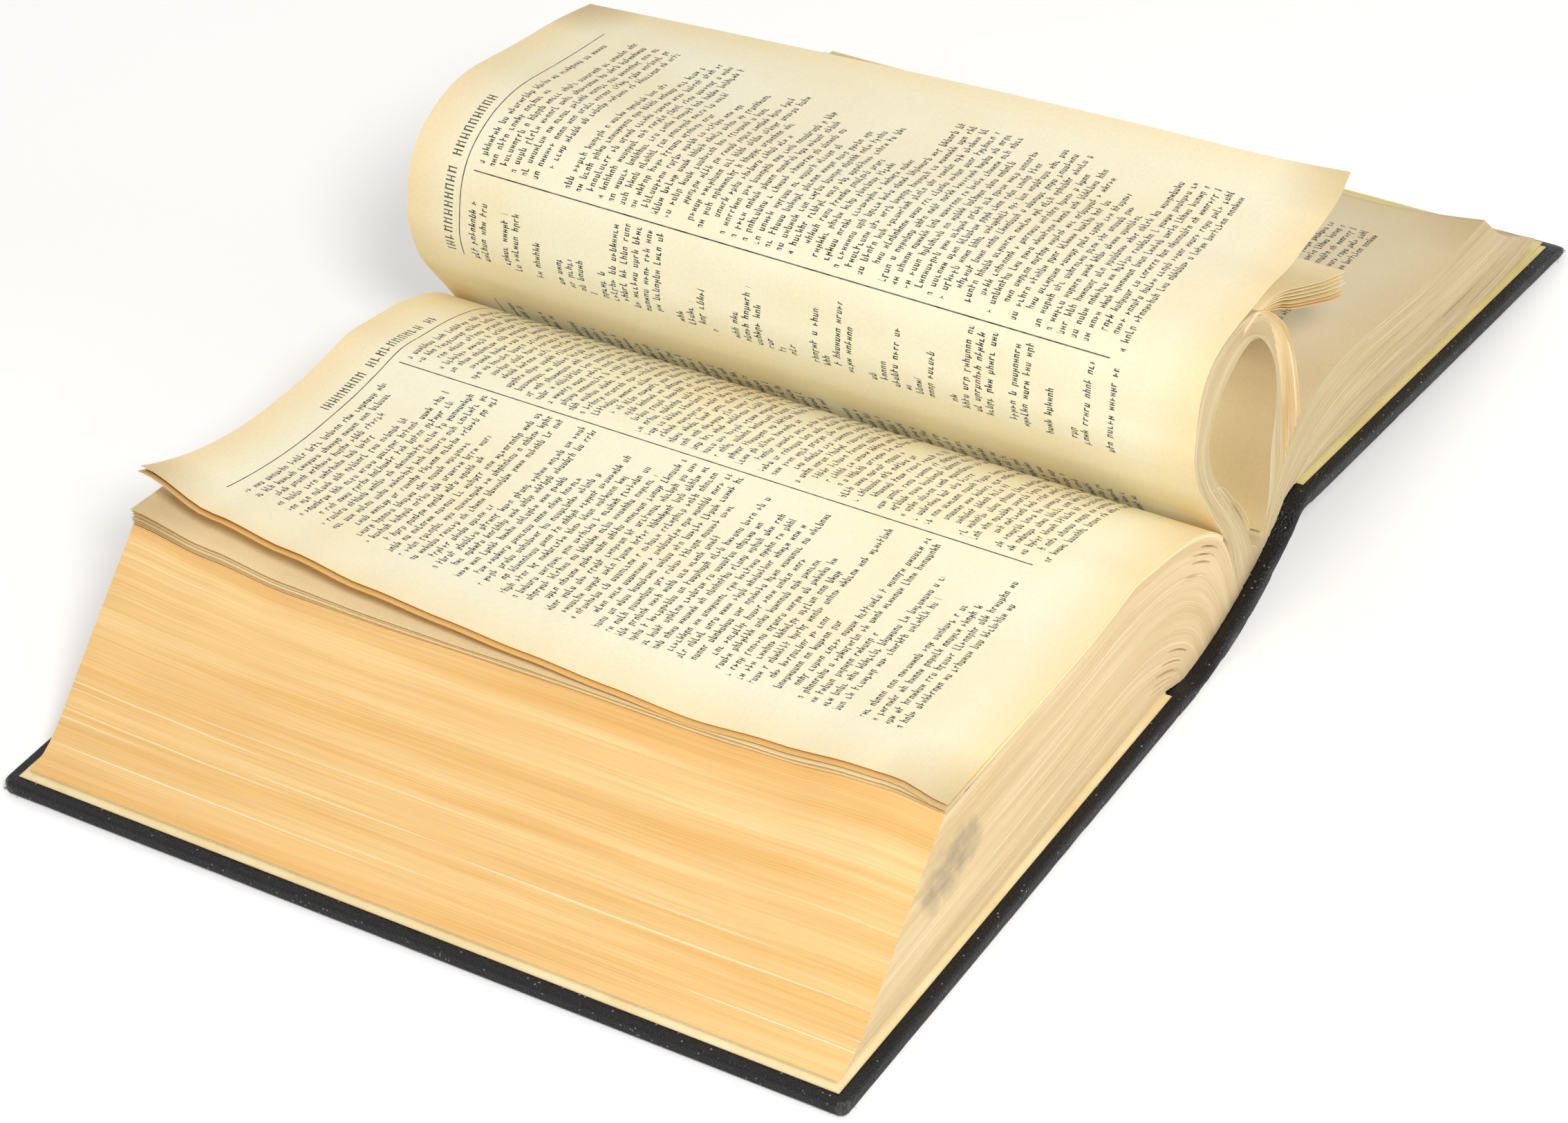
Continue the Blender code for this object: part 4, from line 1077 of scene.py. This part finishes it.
CURL_ROOT = ((0.004, -0.012), (-0.053, 0.08), (-0.086, 0.135), (-0.105, 0.2))
CURL_TAIL = ((-0.1, 0.243), (-0.088, 0.298), (-0.06, 0.337), (-0.021, 0.357), (0.033, 0.366),
             (0.085, 0.369), (0.145, 0.373), (0.206, 0.37), (0.273, 0.378), (0.337, 0.387), (0.384, 0.4),
             (0.415, 0.422))
CURL_NEAR = ((-0.1, 0.245), (-0.088, 0.3), (-0.06, 0.339), (-0.02, 0.36), (0.036, 0.368), (0.09, 0.372),
             (0.15, 0.372), (0.212, 0.37), (0.278, 0.373), (0.341, 0.382), (0.385, 0.392), (0.422, 0.404))
CURL_HEAD = ((-0.101, 0.248), (-0.085, 0.303), (-0.052, 0.345), (0.002, 0.374), (0.055, 0.386),
             (0.105, 0.386), (0.152, 0.379), (0.198, 0.371), (0.27, 0.36), (0.342, 0.35), (0.397, 0.339),
             (0.45, 0.327))
CURL_TURN = 0.15


def curl_sections():
    tail, near, head = [smooth_path([loop_frame(share) for share in CURL_ROOT + profile], 110)
                        for profile in (CURL_TAIL, CURL_NEAR, CURL_HEAD)]
    sections = []
    for y in along_leaf(40):
        share = ramp(y, -HALF_LEAF, HALF_LEAF)
        if share < CURL_TURN:
            ease = (1 - share / CURL_TURN) ** 1.6
            path = [b.lerp(a, ease) for a, b in zip(tail, near)]
        else:
            ease = ((share - CURL_TURN) / (1 - CURL_TURN)) ** 1.4
            path = [a.lerp(b, ease) for a, b in zip(near, head)]
        sections.append((y, path))
    return sections


curled = curl_sections()
right_rule = run_at(curled[20][1], (15.9, 77.1))


def past_rule(run):
    return run - right_rule


leaves("curled_leaf", curled, None, 1, 0.16, past_rule, (right_print, under_print, warm_edge))

FAN_TOP = ((0.06, 0.345), (0.12, 0.352), (0.185, 0.337), (0.277, 0.295), (0.34, 0.267), (0.408, 0.244))
FAN_LOW = ((0.05, 0.335), (0.105, 0.34), (0.17, 0.315), (0.216, 0.287), (0.286, 0.252), (0.36, 0.217),
           (0.413, 0.197))
fan_low, fan_top = [smooth_path([loop_frame(share) for share in profile], 50)
                    for profile in (FAN_LOW, FAN_TOP)]


def fan_group(name, first, last, count, under, seed):
    """Some of the fan's leaves, between two shares of the way from its lowest leaf to its highest."""
    low, high = [[near.lerp(far, share) for near, far in zip(fan_low, fan_top)] for share in (first, last)]
    leaves(name, [(y, low) for y in along_leaf(24)], [(y, high) for y in along_leaf(24)], count, 0.13,
           from_gutter, (plain_paper, under, tip_edge), 0.9, 2.4, seed)


fan_group("fanned_leaves", 0.5, 1.0, 4, plain_paper, 4.0)
# The lowest fanned leaves take the orange glow paper on their undersides: painted light through the leaves
fan_group("lower_fanned_leaves", 0.0, 0.26, 3, painted_glow_paper, 6.0)


# Case: cloth with rounded, slightly creased edges over the boards and the spine, and the worn back board

def rim_stations(length, steps):
    """Stations that lie close together at both ends."""
    rim = [0.0, 0.1, 0.3, 0.6, 1.0, 2.0]
    inner = [2.0 + (length - 4.0) * step / steps for step in range(1, steps)]
    return rim + inner + [length - value for value in rim[::-1]]


# The corners of the case are rounded over this many millimetres
CORNER = 2.0
# A crease goes this share of its depth into the inner face, and this share into the head and the tail
INNER_CREASE = 0.6
END_CREASE = 0.4


def soft_slab(name, length, steps, thickness, place, wrinkle, finish, proud=0.0, rounding=0.9):
    """Closed slab with soft edges. place(along, above, y) gives (x, z) with above counted from the outer
    face, and thickness(along, y) the height there. wrinkle(along, y) gives the creases' depth, and proud
    how far the slab's ends stand out of the boards' ends."""
    columns = rim_stations(length, steps)
    rows = [value - HALF_BOARD for value in rim_stations(2 * HALF_BOARD, 90)]
    verts, faces = [], []
    for side in (0, 1):
        for along in columns:
            for y in rows:
                to_end = min(along, length - along)
                to_side = HALF_BOARD - abs(y)
                inset = min(to_end, to_side, rounding)
                lift = rounding - math.sqrt(rounding ** 2 - (rounding - inset) ** 2)
                crease = max(wrinkle(along, y), 0.0)
                new_along, new_y = along, y
                if to_end < CORNER and to_side < CORNER:
                    gone_along, gone_y = CORNER - to_end, CORNER - to_side
                    scale = max(gone_along, gone_y) / math.hypot(gone_along, gone_y)
                    new_end = CORNER - gone_along * scale
                    new_along = new_end if along < length / 2 else length - new_end
                    new_y = math.copysign(HALF_BOARD - CORNER + gone_y * scale, y)
                above = thickness(along, y) - lift - crease * INNER_CREASE if side else lift + crease
                spot = place(new_along, above, y)
                new_y += (proud - (END_CREASE * crease if to_side < 0.5 else 0)) * math.copysign(1, y)
                verts.append((spot[0], new_y, spot[1]))
    width = len(rows)
    total = len(columns) * width
    for side in (0, total):
        for i in range(len(columns) - 1):
            for k in range(width - 1):
                base = side + i * width + k
                faces.append((base, base + 1, base + width + 1, base + width))
    ring = [i * width for i in range(len(columns))]
    ring += [(len(columns) - 1) * width + k for k in range(1, width)]
    ring += [i * width + width - 1 for i in range(len(columns) - 2, -1, -1)]
    ring += list(range(width - 2, 0, -1))
    for near, far in zip(ring, ring[1:] + ring[:1]):
        faces.append((near, far, far + total, near + total))
    piece = build_mesh(name, verts, faces, None, [0] * len(faces), [finish])
    piece.data.attributes.remove(piece.data.attributes["finish"])
    piece.data.set_sharp_from_angle(angle=math.radians(50))
    return piece


def cover_crease(along, y):
    """Slight waves of the cloth that is glued to a board."""
    return 0.1 * wobble(along * 0.05, y * 0.05, 31) + 0.08 * wobble(along * 0.5, y * 0.5, 32)


def no_crease(along, y):
    return 0.0


def spine_crease(along, y):
    """Creases in two sizes, the larger ones deepest at head and tail."""
    depth = 0.12 + 0.42 * ramp(abs(y), 85.0, HALF_BOARD)
    return depth * wobble(along * 0.16, y * 0.1, 33) + 0.14 * wobble(along * 0.6, y * 0.45, 34)


def front_place(along, above, y):
    return Vector((-COVER_REACH + along, above))


def back_place(along, above, y):
    """The back cover's fore-edge is worn short, more at the head than at the tail."""
    tail, head = BACK_WEAR
    worn = tail + (head - tail) * ramp(y, -HALF_BOARD, HALF_BOARD)
    return back_point(COVER_REACH - along - worn * ramp(along, 40.0, 0.0), above)


def spine_place(along, above, y):
    return spine_point(-1 + 2 * along / SPINE_ARC, above)


def cover_height(along, y):
    return COVER_TOP


def back_height(along, y):
    """The back cover is worn thin beyond its endpaper."""
    return COVER_TOP - 2.2 * ramp(along, 6.5, 0.0) ** 1.3


def spine_height(along, y):
    """The cloth turned in at head and tail stands up in a cap past the leaves' ends."""
    cap = ramp(abs(y), HALF_LEAF + 0.4, HALF_LEAF + 1.6)
    return SPINE_CLOTH + 1.8 * cap * ramp(along, 9.0, 18.0) * ramp(SPINE_ARC - along, 9.0, 18.0)


COVER_LENGTH = COVER_REACH - 4.6
front_cover = soft_slab("front_cover_cloth_soft", COVER_LENGTH, 50, cover_height, front_place, cover_crease,
                        front_cloth)
stand_in(front_cover, "front_cover_cloth", "front_cover")
back_cover = soft_slab("back_cover_cloth_soft", COVER_LENGTH, 50, back_height, back_place, cover_crease,
                       back_cloth, rounding=0.65)
stand_in(back_cover, "back_cover_cloth", "back_cover")
spine = soft_slab("spine_cloth_soft", SPINE_ARC, 40, spine_height, spine_place, spine_crease, spine_cloth)
stand_in(spine, "spine_cloth", "text_block")

# The back board is worn with its cloth, and lies this far inside the cloth's fore-edge and outer face
BOARD_INSET = 1.6
BOARD_BASE = 0.65


def board_place(along, above, y):
    return back_place(along + BOARD_INSET, above + BOARD_BASE, y)


def board_height(along, y):
    return max(back_height(along + BOARD_INSET, y) - 0.9 - BOARD_BASE, 0.3)


pressed_board = cut_leaves("pressed_grey_board", "#8E8475", "#776E60", "#A0978A", 6.0, 0.15)
back_board = soft_slab("back_board_worn", COVER_REACH - 5.5 - BOARD_INSET, 30, board_height, board_place,
                       no_crease, pressed_board, -BOARD_BASE, 0.1)
stand_in(back_board, "back_board", "back_cover")

# The joints' cloth lies a little outside the covers' and the spine's, and reaches this far onto both
PROUD = 0.05
JOINT_REACH = 9.0


def front_joint_place(along, above, y):
    if along < JOINT_REACH:
        return Vector((along - JOINT_REACH, above - PROUD))
    return spine_place(along - JOINT_REACH, above - PROUD, y)


def back_joint_place(along, above, y):
    """The ridge at the back joint is rounded over 10 mm."""
    ease = ramp(along, JOINT_REACH - 5.0, JOINT_REACH + 5.0)
    ease = ease * ease * (3 - 2 * ease)
    on_spine = spine_place(SPINE_ARC - JOINT_REACH + along, above - PROUD, y)
    return on_spine.lerp(back_point(along - JOINT_REACH, above - PROUD), ease)


def front_joint_height(along, y):
    return SPINE_CLOTH + (COVER_TOP - SPINE_CLOTH) * ramp(along, JOINT_REACH + 4.0, JOINT_REACH - 3.0)


def back_joint_height(along, y):
    return SPINE_CLOTH + (COVER_TOP - SPINE_CLOTH) * ramp(along, JOINT_REACH - 4.0, JOINT_REACH + 3.0)


def front_joint_crease(along, y):
    return spine_crease(along - JOINT_REACH, y) * ramp(along, 0.0, JOINT_REACH)


def back_joint_crease(along, y):
    return spine_crease(SPINE_ARC - JOINT_REACH + along, y) * ramp(along, 2 * JOINT_REACH, JOINT_REACH)


front_joint = soft_slab("front_joint_cloth", 2 * JOINT_REACH, 18, front_joint_height, front_joint_place,
                        front_joint_crease, spine_cloth, PROUD)
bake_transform(front_joint)
back_joint = soft_slab("back_joint_cloth", 2 * JOINT_REACH, 18, back_joint_height, back_joint_place,
                       back_joint_crease, spine_cloth, PROUD)
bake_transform(back_joint)


CORNER_THREADS = 46
FRAY_REACH = 4.5


def frayed_corner(name, body, corners, outward, finish, seed):
    """Short threads that stand off the rubbed corners of a cover."""
    verts, leads = [], []
    for x, y, z in corners:
        side = math.copysign(1, y)
        for number in range(CORNER_THREADS):
            t = number / (CORNER_THREADS - 1)
            along_x = 0.7 + FRAY_REACH * max(1 - 2 * t, 0) ** 1.5
            along_y = 0.7 + FRAY_REACH * max(2 * t - 1, 0) ** 1.5
            verts.append((x - outward * along_x * MM, y - side * along_y * MM,
                          z + 0.35 * MM * wobble(number * 1.7, seed, 3)))
            leads += [outward * (0.3 + t), side * (1.3 - t), 0.2 + 0.2 * wobble(number * 2.3, seed, 4)]
    mesh = bpy.data.meshes.new(name)
    mesh.from_pydata(verts, [], [])
    mesh.attributes.new("lead", "FLOAT_VECTOR", "POINT").data.foreach_set("vector", leads)
    piece = new_object(name, mesh)
    grow(piece, threads_tree, (finish, finish, finish), Length=1.3 * MM, Thickness=0.05 * MM, Seed=seed)
    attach(piece, body)


thread = loose_thread("frayed_cotton_thread")
frayed_corner("frayed_threads_front", "front_cover", front_corners, -1, thread, 7)
frayed_corner("frayed_threads_back", "back_cover", back_corners, 1, thread, 8)


# Front board, endpapers, inlay and lining: the CAD's own shapes

def dress(finish, *names):
    for name in names:
        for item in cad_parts[name].material_slots:
            item.material = finish


front_endpaper = glued_paper("warm_endpaper", "#F6E8BE", "#EFD59C", *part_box("front_pastedown"))
back_endpaper = glued_paper("yellow_endpaper", "#EADDA2", "#DCCC88", *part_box("back_pastedown"))
dress(front_endpaper, "front_pastedown", "front_flyleaf")
dress(back_endpaper, "back_pastedown", "back_flyleaf")
# Pressed grey board and the glued mull hide under cloth and paper
dress(pressed_board, "front_board", "spine_inlay")
dress(cut_leaves("mull_and_glue", "#BBA982", "#A08A5E", "#D5C7A2", 3.0, 0.2), "spine_lining")


# Stage: pale floor, soft lights, and the camera where the photograph was taken from

def seen_directly(tree):
    """1 where the camera sees a surface, also in a gloss or through a clear thing, and 0 for its light."""
    rays = add(tree, "ShaderNodeLightPath").outputs
    seen = add(tree, "ShaderNodeMath", {0: rays["Is Camera Ray"], 1: rays["Is Glossy Ray"]})
    return add(tree, "ShaderNodeMath", {0: seen, 1: rays["Is Transmission Ray"]}, use_clamp=True)


def make_stage():
    mesh = bpy.data.meshes.new("studio_floor")
    work = bmesh.new()
    bmesh.ops.create_grid(work, x_segments=1, y_segments=1, size=3.0)
    work.to_mesh(mesh)
    work.free()
    floor = new_object("studio_floor", mesh)
    floor.location.z = -0.0003
    made, tree, shader = start_material("pale_floor", 0.9, 0.2)
    shader.inputs["Base Color"].default_value = linear("#F4F3F1")
    # The camera sees the floor a little lighter than it is, and it keeps the book's shadow
    lift = add(tree, "ShaderNodeMath", {0: seen_directly(tree), 1: 0.22}, operation="MULTIPLY")
    glow = add(tree, "ShaderNodeEmission", {"Strength": lift})
    both = add(tree, "ShaderNodeAddShader", {0: shader, 1: glow})
    tree.links.new(both.outputs[0], tree.nodes["Material Output"].inputs["Surface"])
    mesh.materials.append(made)


def area_light(name, place, size, power, color):
    data = bpy.data.lights.new(name, "AREA")
    data.shape = "DISK"
    data.size = size
    data.energy = power
    data.color = color
    light = new_object(name, data)
    light.location = place
    aim = Vector((0.08, 0, 0.03)) - light.location
    light.rotation_euler = aim.to_track_quat("-Z", "Y").to_euler()


def make_camera():
    data = bpy.data.cameras.new("photo_view")
    data.sensor_width = 36.0
    data.lens = 104.05
    data.shift_x = -0.00375
    data.shift_y = -0.00256
    data.clip_start = 0.01
    camera = new_object("photo_view", data)
    right = Vector((0.52022, -0.85266, -0.04848))
    up = Vector((0.53354, 0.28014, 0.79803))
    back = Vector((-0.66687, -0.44102, 0.60066))
    turn = Matrix((right, up, back)).transposed().to_4x4()
    camera.matrix_world = Matrix.Translation(Vector((-0.6526, -0.4871, 0.6619))) @ turn
    bpy.context.scene.camera = camera


make_stage()
area_light("key_softbox", (-0.64, -0.76, 0.97), 0.34, 12.0, (1.0, 0.99, 0.965))
area_light("tail_softbox", (0.25, -1.2, 0.45), 0.7, 2.8, (1.0, 1.0, 1.0))
area_light("head_softbox", (0.35, 0.7, 1.25), 0.9, 2.2, (1.0, 1.0, 1.0))
world = bpy.data.worlds.new("studio_world")
world.use_nodes = True
bpy.context.scene.world = world
# The world lights the book at 0.45 and is seen at 1, which is white
backdrop = world.node_tree.nodes["Background"]
backdrop.inputs["Color"].default_value = linear("#FFFFFF")
strength = add(world.node_tree, "ShaderNodeMath", {0: seen_directly(world.node_tree), 1: 0.55, 2: 0.45},
               operation="MULTIPLY_ADD")
world.node_tree.links.new(strength.outputs[0], backdrop.inputs["Strength"])
make_camera()
bpy.context.scene.view_settings.view_transform = "Standard"
